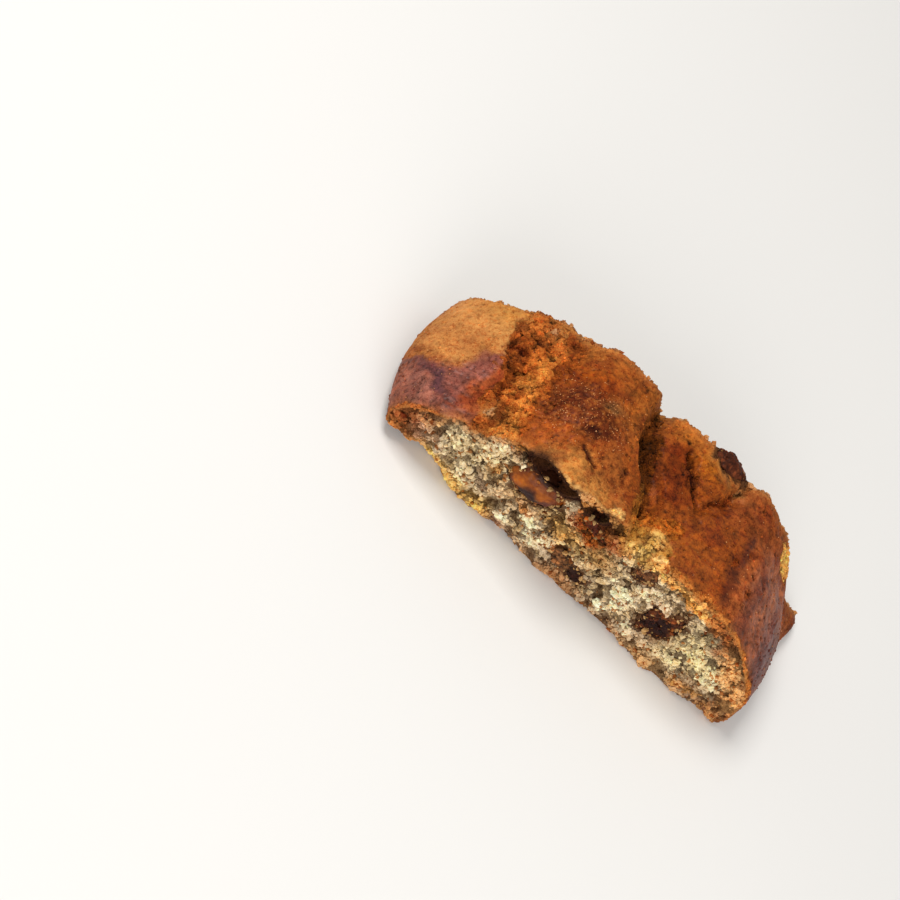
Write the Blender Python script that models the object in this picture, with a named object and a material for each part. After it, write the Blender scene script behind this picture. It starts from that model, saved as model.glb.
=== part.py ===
"""Fig and nut cookie: one thick slice of a baked log, cut across and resting on its flat base.

X runs along the slice, Y through its thickness from the front cut to the back cut, and Z up from
the base. The origin is at the centre of the box round the slice, on the base. The dough is one
solid. Every piece of fig or nut that shows at a cut or in the crust is a solid in its own pocket.
"""

import math

import bmesh
import bpy
from mathutils import Matrix, Vector, noise

MM = 0.001

# Driving dimensions, in millimetres.
THICKNESS = 31.5
TIP_LIFT = 2.6
TIP_LIFT_LENGTH = 20.0
BASE_ROUNDING = 1.3
PLAN_BULGE = (3.4, 3.6)
FOOT = 7.5
CELLS = (56, 18, 13)

# Crest of the crust at the two cuts: x and z, from the left shoulder to the right shoulder.
FRONT_CREST = (
    (-41.5, 14.8), (-34.0, 19.6), (-27.5, 23.4), (-19.0, 27.4), (-8.0, 28.0),
    (2.0, 26.6), (12.0, 26.2), (22.0, 26.0), (30.5, 24.6), (37.5, 20.8), (42.0, 16.2),
)
BACK_CREST = (
    (-42.5, 15.6), (-37.5, 20.0), (-30.0, 25.0), (-25.0, 25.2), (-20.5, 27.9), (-14.0, 29.0),
    (-6.0, 27.6), (4.0, 27.3), (13.0, 27.6), (23.0, 26.4), (31.0, 23.4), (39.0, 16.6),
)

# Ends of the base at the front and back cuts, and how squarely each end rises to its shoulder.
LEFT_BASE = (-47.2, -46.8)
RIGHT_BASE = (48.0, 46.2)
LEFT_SQUARENESS = (2.6, 3.4)
RIGHT_SQUARENESS = (2.4, 1.8)

# Gap left round a piece of fruit or nut, and how far proud of the cut the knife left it.
CLEARANCE = 0.42
PROUD = 0.2

# Swellings of the crust: centre x and y, half widths along x and y, and rise.
LOBES = {
    "middle": (-17.0, -1.0, 11.0, 22.0, 1.0),
    "right inner": (9.5, 10.0, 7.5, 10.0, 1.1),
    "right": (26.0, -3.0, 14.0, 18.0, 0.9),
}

# Splits in the crust: points along each, then half width and depth.
GROOVES = {
    "valley": (
        ((-3.6, 18.0), (-5.4, 9.0), (-3.2, 3.0), (-0.6, -1.0), (1.7, -6.0), (4.4, -18.0)), 3.4, 3.9
    ),
    "left crack": (((-30.0, 13.5), (-31.4, 7.0), (-32.4, -4.0), (-33.0, -13.0)), 5.0, 1.9),
    "right split": (((4.8, 8.6), (7.3, 5.0), (11.0, -0.6)), 2.0, 1.2),
    "lip step": (((11.0, 1.6), (15.5, 5.5), (17.2, 10.0), (20.2, 18.0)), 2.2, 1.5),
    "front breach": (((0.0, -18.0), (8.5, -16.0)), 4.4, 1.6),
}


# Marks at the rim of each cut, which fade RIM_DEPTH below the crest: x, half width, outward shift.
RIM_DEPTH = 5.0
FRONT_RIM = {"overhanging lip": (-16.0, 12.0, 1.9), "torn gap": (3.0, 7.0, -1.5)}
BACK_RIM = {"valley end": (-3.6, 4.5, -1.4), "lip end": (20.0, 3.2, -1.2)}

# Marks low on each cut: x, z, half widths along x and z, and outward shift.
FRONT_MARKS = {
    "swelling": (29.0, 0.0, 16.0, 7.0, 1.2),
    "chipped tip": (-36.5, 0.0, 12.0, 6.5, -3.8),
    "worn edge": (-12.0, 0.0, 7.0, 5.0, -0.8),
}
BACK_MARKS = {"foot": (52.0, 2.0, 9.0, 8.0, 2.8)}

# Crumb on the cuts and crags in the splits: wavelength and height of each ripple.
CRUMB_RIPPLES = ((6.0, 0.9), (3.6, 1.0))
CRUST_RIPPLES = ((8.0, 0.6), (4.2, 0.4))
CRAGS = (4.4, 2.6)


def smooth(value):
    """Smooth step from 0 at value 0 to 1 at value 1."""
    value = min(max(value, 0.0), 1.0)
    return value * value * (3.0 - 2.0 * value)


def bump(*offsets):
    """Round hump of height 1 at the centre, falling to 0 where the scaled offsets reach 1."""
    return 1.0 - smooth(math.sqrt(sum(offset * offset for offset in offsets)))


def mix(low, high, share):
    """Value at a share of the way from low to high."""
    return low + (high - low) * share


def ripple(x, y, z, wavelength, seed=0.0):
    """Repeatable uneven value from -1 to 1 with the given wavelength in millimetres."""
    return noise.noise(Vector((x / wavelength + seed, y / wavelength - seed, z / wavelength)))


def curve_height(points, x):
    """Height at x of a smooth curve through a few points, level with them beyond the ends."""
    x = min(max(x, points[0][0]), points[-1][0])
    spans = len(points) - 1
    index = next((i for i in range(spans) if x <= points[i + 1][0]), spans - 1)
    (x0, z0), (x1, z1) = points[index], points[index + 1]
    before, after = points[max(index - 1, 0)], points[min(index + 2, spans)]
    slope0 = (z1 - before[1]) / (x1 - before[0])
    slope1 = (after[1] - z0) / (after[0] - x0)
    width, share = x1 - x0, (x - x0) / (x1 - x0)
    rise = smooth(share)
    return (
        mix(z0, z1, rise)
        + width * slope0 * share * (1.0 - share) ** 2
        - width * slope1 * share**2 * (1.0 - share)
    )


def distance_to_path(x, y, path):
    """Shortest distance in plan from a point to a path of straight stretches."""
    best = math.inf
    for (ax, ay), (bx, by) in zip(path, path[1:]):
        along_x, along_y = bx - ax, by - ay
        share = ((x - ax) * along_x + (y - ay) * along_y) / (along_x**2 + along_y**2)
        share = min(max(share, 0.0), 1.0)
        best = min(best, math.hypot(x - ax - share * along_x, y - ay - share * along_y))
    return best


def groove_share(x, y, name):
    """How deep a point lies in a groove: 1 on its line, 0 outside its half width."""
    path, half_width, _ = GROOVES[name]
    wander = 0.3 * half_width * ripple(x, y, 0.0, 5.0, 7.3)
    return 1.0 - smooth((distance_to_path(x, y, path) + wander) / half_width)


def valley_x(y):
    """X of the valley between the two big lobes at a depth in the slice."""
    path = GROOVES["valley"][0]
    for (ax, ay), (bx, by) in zip(path, path[1:]):
        if y >= by:
            return mix(ax, bx, min(max((y - ay) / (by - ay), 0.0), 1.0))
    return path[-1][0]


def crest(x, t):
    """Z of the plain crust at x and depth share t, before its lobes and splits."""
    return mix(curve_height(FRONT_CREST, x), curve_height(BACK_CREST, x), smooth(t))


def shoulder(side, t):
    """X where the crest turns down into the left (0) or right (1) end."""
    place = 0 if side == 0 else -1
    return mix(FRONT_CREST[place][0], BACK_CREST[place][0], t)


def end_x(side, t, r):
    """X of the left (0) or right (1) end at depth share t and height share r."""
    away = -1.0 if side == 0 else 1.0
    base = mix(*(LEFT_BASE, RIGHT_BASE)[side], t)
    squareness = mix(*(LEFT_SQUARENESS, RIGHT_SQUARENESS)[side], t)
    bulge = PLAN_BULGE[side] * (1.0 - (2.0 * t - 1.0) ** 2) * (1.0 - 0.6 * r * r)
    rounding = BASE_ROUNDING * (1.0 - smooth(r / 0.2))
    return mix(base, shoulder(side, t), r**squareness) + away * (bulge - rounding)


def underside(x):
    """Z of the base, which lifts off the surface towards the left tip."""
    lift_start = LEFT_BASE[0] + TIP_LIFT_LENGTH
    return TIP_LIFT * smooth((lift_start - x) / TIP_LIFT_LENGTH)


def crust_top(x, y, t):
    """Z of the crust with its lobes, splits and crags."""
    z = crest(x, t)
    for lobe_x, lobe_y, half_x, half_y, rise in LOBES.values():
        z += rise * bump((x - lobe_x) / half_x, (y - lobe_y) / half_y)
    crags = 0.0
    for name, (_, _, depth) in GROOVES.items():
        share = groove_share(x, y, name)
        z -= depth * share
        crags = max(crags, share)
    for wavelength, height in CRUST_RIPPLES:
        z += height * ripple(x, y, 0.0, wavelength, wavelength)
    return z + crags * CRAGS[1] * ripple(x, y, 0.0, CRAGS[0], 11.7)


def cut_shift(x, z, top, rim, marks, seed):
    """How far a crumbly cut stands out from its plane at a point, with its marks."""
    near_top = smooth((z - top + RIM_DEPTH) / (0.8 * RIM_DEPTH))
    shift = sum(out * bump((x - place) / half) for place, half, out in rim.values()) * near_top
    for mark_x, mark_z, half_x, half_z, out in marks.values():
        shift += out * bump((x - mark_x) / half_x, (z - mark_z) / half_z)
    for wavelength, height in CRUMB_RIPPLES:
        shift += height * ripple(x, seed, z, wavelength, wavelength)
    return shift


def slice_point(cell):
    """Point of the slice, in millimetres, for a point of the block from -1 to 1 each way."""
    s, t, r = ((share + 1.0) / 2.0 for share in cell)
    foot = FOOT * smooth((t - 0.6) / 0.4) * smooth((s - 0.8) / 0.2) * (1.0 - smooth(r / 0.6))
    x = mix(end_x(0, t, r), end_x(1, t, r), s) + foot
    x_top = mix(shoulder(0, t), shoulder(1, t), s)
    y = mix(-THICKNESS / 2, THICKNESS / 2, t)
    follow = (valley_x(y) - valley_x(0.0)) * bump((x - valley_x(0.0)) / 24.0)
    x, x_top = x + follow, x_top + follow
    z = mix(underside(x), crust_top(x_top, y, t), r)
    top = crest(x_top, t)
    front = -THICKNESS / 2 - cut_shift(x, z, top, FRONT_RIM, FRONT_MARKS, 0.0)
    back = THICKNESS / 2 + cut_shift(x, z, top, BACK_RIM, BACK_MARKS, 40.0)
    return Vector((x, mix(front, back, t), z))


def box_middle(block):
    """Centre in plan of the box round a bmesh."""
    places = [vertex.co for vertex in block.verts]
    middle = [(min(p[i] for p in places) + max(p[i] for p in places)) / 2 for i in range(2)]
    return Vector((*middle, 0.0))


def finish_object(name, mesh_data, origin, collection, material=None):
    """Puts a finished bmesh, in millimetres, into the scene as one object about the origin."""
    bmesh.ops.recalc_face_normals(mesh_data, faces=mesh_data.faces)
    bmesh.ops.translate(mesh_data, vec=-origin, verts=mesh_data.verts)
    bmesh.ops.scale(mesh_data, vec=(MM, MM, MM), verts=mesh_data.verts)
    mesh = bpy.data.meshes.new(name)
    mesh_data.to_mesh(mesh)
    mesh_data.free()
    obj = bpy.data.objects.new(name, mesh)
    collection.objects.link(obj)
    if material is not None:
        mesh.materials.append(material)
        mesh.shade_smooth()
    return obj


def make_material(name, colour, roughness):
    """Plain baked or dried finish."""
    material = bpy.data.materials.new(name)
    material.use_nodes = True
    shader = material.node_tree.nodes["Principled BSDF"]
    shader.inputs["Base Color"].default_value = (*colour, 1.0)
    shader.inputs["Roughness"].default_value = roughness
    shader.inputs["Metallic"].default_value = 0.0
    return material


def shape_dough():
    """The slice itself: a block of cells, bent into the loaf's section."""
    block = bmesh.new()
    bmesh.ops.create_cube(block, size=2.0)
    for axis, cells in enumerate(CELLS):
        along = [e for e in block.edges if abs(e.verts[0].co[axis] - e.verts[1].co[axis]) > 1.0]
        bmesh.ops.subdivide_edges(block, edges=along, cuts=cells - 1, use_grid_fill=True)
    for vertex in block.verts:
        vertex.co = slice_point(vertex.co)
    flat = [face for face in block.faces if max(abs(v.co.z) for v in face.verts) < 0.001]
    inner = [
        edge
        for edge in {edge for face in flat for edge in face.edges}
        if all(face in flat for face in edge.link_faces)
    ]
    bmesh.ops.dissolve_edges(block, edges=inner, use_verts=True)
    return block


def lump(centre, radii, tilt, seed, unevenness, growth=0.0):
    """Uneven rounded piece of fruit or nut, tilted in the plane of the cut, as a bmesh."""
    piece = bmesh.new()
    bmesh.ops.create_uvsphere(piece, u_segments=13, v_segments=8, radius=1.0)
    turn = Matrix.Rotation(-math.radians(tilt), 3, "Y")
    for vertex in piece.verts:
        unit = vertex.co.normalized()
        swell = 1.0 + unevenness * noise.noise(unit * 1.6 + Vector((seed, -seed, seed)))
        vertex.co = Vector(centre) + turn @ (unit * swell * Vector(radii))
    bmesh.ops.triangulate(piece, faces=piece.faces)
    bmesh.ops.recalc_face_normals(piece, faces=piece.faces)
    piece.normal_update()
    outward = [vertex.normal.copy() for vertex in piece.verts]
    for vertex, direction in zip(piece.verts, outward):
        vertex.co += direction * growth
    return piece


def trim_to_cut(piece, side):
    """Cuts a piece off just proud of the front (-1) or back (+1) cut, as the knife did."""
    plane = Vector((0.0, side * (THICKNESS / 2 + PROUD), 0.0))
    geometry = [*piece.verts, *piece.edges, *piece.faces]
    cut = bmesh.ops.bisect_plane(
        piece, geom=geometry, plane_co=plane, plane_no=(0.0, side, 0.0), clear_outer=True
    )
    rim = [part for part in cut["geom_cut"] if isinstance(part, bmesh.types.BMEdge)]
    bmesh.ops.contextual_create(piece, geom=rim)


# Fruit and nut pieces: centre, radii, tilt in degrees, side that trims them (0 for none), kind.
PIECES = {
    "nut_front": ((-17.6, -13.2, 17.3), (7.0, 4.2, 4.3), 2.0, 0, "nut"),
    "fig_front_low": ((0.5, -14.0, 6.4), (5.7, 3.6, 2.2), -14.0, -1, "fig"),
    "fig_front_small": ((10.9, -14.4, 19.8), (2.7, 2.9, 2.3), 50.0, -1, "fig"),
    "fig_front_large": ((21.6, -13.8, 12.8), (6.0, 4.0, 3.6), 72.0, -1, "fig"),
    "fig_notch": ((-2.6, -12.8, 19.8), (4.6, 3.1, 2.6), -18.0, 0, "fig"),
    "fig_top": ((14.6, 14.6, 25.4), (5.7, 2.9, 2.2), -24.0, 0, "fig"),
    "nut_back": ((22.0, 13.2, 14.0), (5.4, 3.9, 3.7), 24.0, 0, "nut"),
    "fig_back_left": ((-25.0, 14.0, 11.4), (4.6, 3.8, 3.3), -30.0, 1, "fig"),
    "fig_back_middle": ((-3.0, 14.2, 15.4), (3.9, 3.4, 2.8), 15.0, 1, "fig"),
}

# Hollows under the torn front lip: centre and radii.
HOLLOWS = {
    "hollow_over_nut": ((-17.2, -17.2, 24.0), (6.4, 5.6, 3.0)),
    "hollow_in_notch": ((-6.2, -17.0, 24.2), (3.0, 5.0, 2.4)),
}


def make_piece(name, origin, collection, cutters, materials):
    """One fig or nut piece, and the cutter that leaves its pocket in the dough."""
    centre, radii, tilt, side, kind = PIECES[name]
    seed = 3.7 * (1 + list(PIECES).index(name))
    unevenness = 0.16 if kind == "nut" else 0.34
    piece = lump(centre, radii, tilt, seed, unevenness)
    if side:
        trim_to_cut(piece, side)
    finish_object(name, piece, origin, collection, materials[kind])
    pocket = lump(centre, radii, tilt, seed, unevenness, CLEARANCE)
    finish_object(f"pocket_{name}", pocket, origin, cutters)


def make_hollow(name, origin, cutters):
    """Cutter for a hollow under the crust."""
    centre, radii = HOLLOWS[name]
    finish_object(name, lump(centre, radii, 0.0, 1.9, 0.2), origin, cutters)


def cut_pockets(dough, cutters):
    """Takes every pocket and hollow out of the dough."""
    for cutter in cutters.objects:
        cutter.hide_render = True
        cutter.display_type = "WIRE"
    pockets = dough.modifiers.new("pockets", "BOOLEAN")
    pockets.operation = "DIFFERENCE"
    pockets.operand_type = "COLLECTION"
    pockets.collection = cutters
    pockets.solver = "EXACT"
    pockets.use_self = True


def main():
    """Builds the slice and its pieces."""
    for obj in list(bpy.data.objects):
        bpy.data.objects.remove(obj)
    parts = bpy.data.collections.new("fig_cookie")
    cutters = bpy.data.collections.new("cutters")
    for collection in (parts, cutters):
        bpy.context.scene.collection.children.link(collection)
    materials = {
        "dough": make_material("baked_dough", (0.62, 0.36, 0.15), 0.75),
        "fig": make_material("dried_fig", (0.10, 0.045, 0.035), 0.55),
        "nut": make_material("roasted_nut", (0.42, 0.19, 0.06), 0.40),
    }
    block = shape_dough()
    origin = box_middle(block)
    dough = finish_object("biscuit", block, origin, parts, materials["dough"])
    for name in PIECES:
        make_piece(name, origin, parts, cutters, materials)
    for name in HOLLOWS:
        make_hollow(name, origin, cutters)
    cut_pockets(dough, cutters)


main()
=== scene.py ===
"""Looks, light and camera for a fig and nut cookie, one cut slice of a baked log.

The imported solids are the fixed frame. The slice is rebuilt over its solid with the crumb, crags and
sugar that a baked and cut biscuit shows, and each piece of fruit or nut is dressed in its pocket.
Sizes are in millimetres until a mesh is made; colours are sRGB from 0 to 255.
"""

from __future__ import annotations

import logging
import math
from dataclasses import dataclass, field
from enum import Enum
from typing import Iterable, Mapping, Sequence

import bmesh
import bpy
import numpy as np
from mathutils import Matrix, Vector
from mathutils.bvhtree import BVHTree
from mathutils.kdtree import KDTree


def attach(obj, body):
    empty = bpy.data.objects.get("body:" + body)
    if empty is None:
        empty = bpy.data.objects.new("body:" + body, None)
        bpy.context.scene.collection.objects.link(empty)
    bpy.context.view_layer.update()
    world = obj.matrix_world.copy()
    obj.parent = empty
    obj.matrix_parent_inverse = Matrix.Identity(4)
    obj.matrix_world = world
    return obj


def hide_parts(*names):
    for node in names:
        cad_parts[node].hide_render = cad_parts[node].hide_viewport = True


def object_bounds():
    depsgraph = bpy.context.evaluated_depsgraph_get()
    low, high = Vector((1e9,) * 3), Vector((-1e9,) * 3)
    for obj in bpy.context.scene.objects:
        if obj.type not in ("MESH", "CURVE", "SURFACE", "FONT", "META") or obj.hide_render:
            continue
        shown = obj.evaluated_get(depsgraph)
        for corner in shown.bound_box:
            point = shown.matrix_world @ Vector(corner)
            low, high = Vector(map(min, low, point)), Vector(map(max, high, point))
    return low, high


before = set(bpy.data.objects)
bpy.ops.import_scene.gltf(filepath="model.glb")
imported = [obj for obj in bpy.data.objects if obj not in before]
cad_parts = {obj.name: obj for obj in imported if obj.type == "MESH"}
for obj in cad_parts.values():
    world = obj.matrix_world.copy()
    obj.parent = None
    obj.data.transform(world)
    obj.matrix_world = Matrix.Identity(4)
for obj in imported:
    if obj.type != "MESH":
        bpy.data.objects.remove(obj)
cad_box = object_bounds()

LOG = logging.getLogger("fig_cookie")
MM = 0.001
LOWEST, HIGHEST = (np.array(corner) / MM for corner in cad_box)
MARGIN = np.array((0.9, 0.9, 0.6))
Colour = tuple[float, float, float]
Array = np.ndarray


def linear(colour: Sequence[float]) -> Array:
    """Linear light values of an sRGB colour given from 0 to 255."""
    share = np.asarray(colour, float) / 255.0
    return np.where(share <= 0.04045, share / 12.92, ((share + 0.055) / 1.055) ** 2.4)


def opaque(colour: Colour) -> tuple[float, ...]:
    """Linear light values of an sRGB colour, with full cover, for a shader socket."""
    return (*linear(colour), 1.0)


def smooth(value: Array) -> Array:
    """Smooth step from 0 at value 0 to 1 at value 1."""
    value = np.clip(value, 0.0, 1.0)
    return value * value * (3.0 - 2.0 * value)


def blend(low: Array, high: Array, share: Array) -> Array:
    """Values or colours at a share of the way from low to high."""
    low, high, share = np.asarray(low), np.asarray(high), np.asarray(share)
    if (3,) in (low.shape[-1:], high.shape[-1:]) and share.ndim == 1:
        share = share[:, None]
    return low + (high - low) * share


def toward(colours: Array, colour: Colour, share: Array) -> Array:
    """Colours moved a share of the way towards one sRGB colour."""
    return blend(colours, linear(colour), share)


def curve(points: Sequence[tuple[float, float]], at: Array) -> Array:
    """Height of a bent line through a few points."""
    places, heights = zip(*points)
    return np.interp(at, places, heights)


def linked(name: str, data: bpy.types.ID) -> bpy.types.Object:
    """New object of the scene with a mesh, lamp or camera in it."""
    obj = bpy.data.objects.new(name, data)
    bpy.context.scene.collection.objects.link(obj)
    return obj


class Grain:
    """Repeatable three-dimensional unevenness, worked out for many points at once."""

    PRIMES = (0x8DA6B343, 0xD8163841, 0xCB1AB31F)
    MIXERS = (np.uint64(0x2C1B3C6D), np.uint64(0x297A2D39))
    STARTS = (7919, 104729)
    WORD = 0xFFFFFFFF
    SHIFT = 17.3
    GAIN = 1.9
    JOINT = 0.22

    def __init__(self, seed: int) -> None:
        """Keeps the seed that tells this grain from the others."""
        self.seed = seed

    def _hash(self, cells: Array, channel: int) -> Array:
        """Value from 0 to 1 for each cell of a grid.

        Args:
            cells: Whole-number places of the cells, one row each.
            channel: Number that tells apart several values of one cell.

        Returns:
            One value per cell.
        """
        word = np.uint64(self.WORD)
        start = (self.seed * self.STARTS[0] + channel * self.STARTS[1]) & self.WORD
        mixed = np.full(len(cells), start, np.uint64)
        for axis, prime in enumerate(self.PRIMES):
            mixed ^= cells[:, axis].astype(np.int64).astype(np.uint64) * np.uint64(prime) & word
            mixed = (mixed ^ (mixed >> np.uint64(15))) * self.MIXERS[0] & word
        mixed = (mixed ^ (mixed >> np.uint64(12))) * self.MIXERS[1] & word
        mixed ^= mixed >> np.uint64(15)
        return mixed.astype(float) / self.WORD

    def wave(self, points: Array, length: float, octaves: int = 1) -> Array:
        """Smooth unevenness from about -1 to 1.

        Args:
            points: Places in millimetres, one row each.
            length: Wavelength of the widest waves.
            octaves: How many finer waves lie over each other.

        Returns:
            One value per point.
        """
        total, share, sum_of_shares = np.zeros(len(points)), 1.0, 0.0
        for octave in range(octaves):
            scaled = points / (length / 2**octave) + self.SHIFT * octave
            cell = np.floor(scaled).astype(np.int64)
            inside = scaled - cell
            ease = inside**3 * (inside * (inside * 6.0 - 15.0) + 10.0)
            level = np.zeros(len(points))
            for corner in np.ndindex(2, 2, 2):
                step = np.array(corner)
                weight = np.prod(np.where(step, ease, 1.0 - ease), axis=1)
                slope = np.stack([self._hash(cell + step, axis) for axis in range(3)], 1) * 2.0 - 1.0
                level += weight * np.sum(slope * (inside - step), axis=1)
            total += share * level * self.GAIN
            sum_of_shares += share
            share *= 0.5
        return total / sum_of_shares

    @classmethod
    def waves(cls, seeds: Sequence[int], points: Array, length: float, octaves: int) -> Array:
        """Smooth unevenness in several columns, one for each seed."""
        return np.stack([cls(seed).wave(points, length, octaves) for seed in seeds], 1)

    def ridges(self, points: Array, length: float, octaves: int) -> Array:
        """Sharp ridges up to 1 with soft valleys between them."""
        return 1.0 - 2.0 * np.abs(self.wave(points, length, octaves))

    def patches(self, points: Array, length: float, octaves: int, start: float, width: float) -> Array:
        """Patches from 0 to 1, where the waves rise above a start by a width."""
        return smooth((self.wave(points, length, octaves) - start) / width)

    def lumps(self, points: Array, size: float) -> tuple[Array, Array, Array]:
        """Packed round lumps, as crumb or sugar grains make.

        Args:
            points: Places in millimetres, one row each.
            size: Mean width of a lump.

        Returns:
            Height of the lumps from 0 to 1, depth in the joints from 0 to 1, and a random value
            from 0 to 1 of the lump at each point.
        """
        scaled = points / size
        cell = np.floor(scaled).astype(np.int64)
        near = np.full(len(points), 9.0)
        second = np.full(len(points), 9.0)
        tone = np.zeros(len(points))
        for corner in np.ndindex(3, 3, 3):
            there = cell + np.array(corner) - 1
            middle = there + np.stack([self._hash(there, axis) for axis in range(3)], 1)
            away = np.linalg.norm(middle - scaled, axis=1)
            closer = away < near
            second = np.where(closer, near, np.minimum(second, away))
            tone = np.where(closer, self._hash(there, 3), tone)
            near = np.where(closer, away, near)
        return np.clip(1.0 - near**2, 0.0, 1.0), 1.0 - smooth((second - near) / self.JOINT), tone


class Layer(Enum):
    """Which part of the surface a mark colours."""

    TORN = "torn"
    BOTH = "both"


TORN, BOTH = Layer


@dataclass(frozen=True)
class Mark:
    """Spot or stroke on a surface with its own colour, depth, roughness and shine.

    The path is in the two coordinates of that surface. One point makes a spot.
    """

    path: tuple[tuple[float, float], ...]
    half: tuple[float, float]
    colour: Colour
    layer: Layer = BOTH
    strength: float = 1.0
    soft: float = 0.7
    ragged: float = 1.8
    turn: float = 0.0
    depth: float = 0.0
    crag: float = 0.0
    glaze: float = 0.0
    sugar: float = 0.0

    def share(self, places: Array, wobble: Array) -> Array:
        """How strongly the mark shows at each place.

        Args:
            places: Two coordinates of each point on the surface.
            wobble: Uneven offsets of the same shape, from about -1 to 1.

        Returns:
            Share from 0 to the mark's strength.
        """
        at = places + wobble * self.ragged
        if len(self.path) == 1:
            offset = at - np.array(self.path[0])
            turn = math.radians(self.turn)
            along = offset @ np.array((math.cos(turn), math.sin(turn)))
            across = offset @ np.array((-math.sin(turn), math.cos(turn)))
            away = np.hypot(along / self.half[0], across / self.half[1])
        else:
            away = self._from_path(at) / self.half[0]
        return self.strength * (1.0 - smooth((away - 1.0 + self.soft) / (2.0 * self.soft)))

    def _from_path(self, at: Array) -> Array:
        """Distance of each place from the mark's line."""
        best = np.full(len(at), np.inf)
        for start, end in zip(self.path, self.path[1:]):
            start, run = np.array(start), np.array(end) - np.array(start)
            share = np.clip((at - start) @ run / (run @ run), 0.0, 1.0)
            best = np.minimum(best, np.linalg.norm(at - start - share[:, None] * run, axis=1))
        return best


def spot(x: float, y: float, half_x: float, half_y: float, colour: Colour, **look: object) -> Mark:
    """Mark round one point."""
    return Mark(((x, y),), (half_x, half_y), colour, **look)


def stroke(half: float, colour: Colour, *path: tuple[float, float], **look: object) -> Mark:
    """Mark along a line."""
    return Mark(path, (half, half), colour, **look)


class Signal:
    """One shader socket that can stand in a sum, a product or a difference."""

    def __init__(self, tree: bpy.types.NodeTree, socket: bpy.types.NodeSocket) -> None:
        """Keeps the socket and the tree that it is in."""
        self.tree = tree
        self.socket = socket

    def _join(self, operation: str, first: Signal | float, second: Signal | float) -> Signal:
        """Adds one Math node.

        Args:
            operation: Name of the node's operation.
            first: Signal or number for the first socket.
            second: Signal or number for the second socket.

        Returns:
            The node's result.
        """
        node = self.tree.nodes.new("ShaderNodeMath")
        node.operation = operation
        for socket, value in zip(node.inputs, (first, second)):
            if isinstance(value, Signal):
                self.tree.links.new(value.socket, socket)
            else:
                socket.default_value = value
        return Signal(self.tree, node.outputs[0])

    def __add__(self, other: Signal | float) -> Signal:
        """Sum."""
        return self._join("ADD", self, other)

    def __radd__(self, other: float) -> Signal:
        """Sum with a number on the left."""
        return self._join("ADD", other, self)

    def __sub__(self, other: Signal | float) -> Signal:
        """Difference."""
        return self._join("SUBTRACT", self, other)

    def __rsub__(self, other: float) -> Signal:
        """Difference from a number on the left."""
        return self._join("SUBTRACT", other, self)

    def __mul__(self, other: Signal | float) -> Signal:
        """Product."""
        return self._join("MULTIPLY", self, other)

    def __rmul__(self, other: float) -> Signal:
        """Product with a number on the left."""
        return self._join("MULTIPLY", other, self)


class Recipe:
    """Node tree of one finish, with a Principled shader at its end."""

    def __init__(self, name: str) -> None:
        """Makes the material and keeps its tree and shader."""
        self.material = bpy.data.materials.new(name)
        self.material.use_nodes = True
        self.tree = self.material.node_tree
        self.shader = self.tree.nodes["Principled BSDF"]

    def add(
        self,
        kind: str,
        settings: Mapping[str, object] | None = None,
        values: Mapping[str | int, object] | None = None,
        output: str | int = 0,
    ) -> Signal:
        """Adds any node.

        Args:
            kind: Blender's name of the node type.
            settings: Properties to set first.
            values: Numbers, colours or signals for its sockets, by name or place.
            output: Which result to hand back.

        Returns:
            The chosen result of the node.
        """
        node = self.tree.nodes.new(kind)
        for key, value in (settings or {}).items():
            setattr(node, key, value)
        self.feed(node, values or {})
        return Signal(self.tree, node.outputs[output])

    def feed(self, node: bpy.types.Node, values: Mapping[str | int, object]) -> None:
        """Sets or links the sockets of a node, by name or place."""
        for key, value in values.items():
            if isinstance(value, Signal):
                self.tree.links.new(value.socket, node.inputs[key])
            else:
                node.inputs[key].default_value = value

    def place(self) -> Signal:
        """Position on the object, in metres."""
        return self.add("ShaderNodeTexCoord", output="Object")

    def painted(self, name: str, output: str = "Color") -> Signal:
        """Colour or value painted on the mesh."""
        return self.add("ShaderNodeAttribute", {"attribute_name": name}, output=output)

    def noise(self, place: Signal, length: float, detail: float = 2.0) -> Signal:
        """Fine unevenness from 0 to 1 with a wavelength in millimetres."""
        values = {"Vector": place, "Scale": 1.0 / (length * MM), "Detail": detail, "Roughness": 0.6}
        return self.add("ShaderNodeTexNoise", {"noise_dimensions": "3D"}, values)

    def tint(self, share: Signal | float, below: object, above: object, how: str = "MIX") -> Signal:
        """Mixes two colours.

        Args:
            share: How much of the upper colour shows, kept between 0 and 1.
            below: Lower colour or signal.
            above: Upper colour or signal.
            how: Name of the mixing method.

        Returns:
            The mixed colour.
        """
        settings = {"data_type": "RGBA", "blend_type": how, "clamp_factor": True}
        return self.add("ShaderNodeMix", settings, {0: share, 6: below, 7: above}, output=2)

    def shaded(self, colour: Signal, depth: float, share: Signal) -> Signal:
        """Colour that is multiplied by itself, to a depth, over a share of the surface."""
        return self.tint(share, colour, self.tint(depth, colour, colour, "MULTIPLY"))

    def bump(self, height: Signal, distance: float) -> Signal:
        """Normal roughened by a height that is given as a share of a distance in millimetres."""
        values = {"Height": height, "Distance": distance * MM, "Strength": 1.0}
        return self.add("ShaderNodeBump", values=values, output="Normal")

    def finish(self, **sockets: object) -> bpy.types.Material:
        """Sets the shader's sockets, with _ for each blank in a name, and returns the material."""
        self.feed(self.shader, {key.replace("_", " "): value for key, value in sockets.items()})
        return self.material


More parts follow.
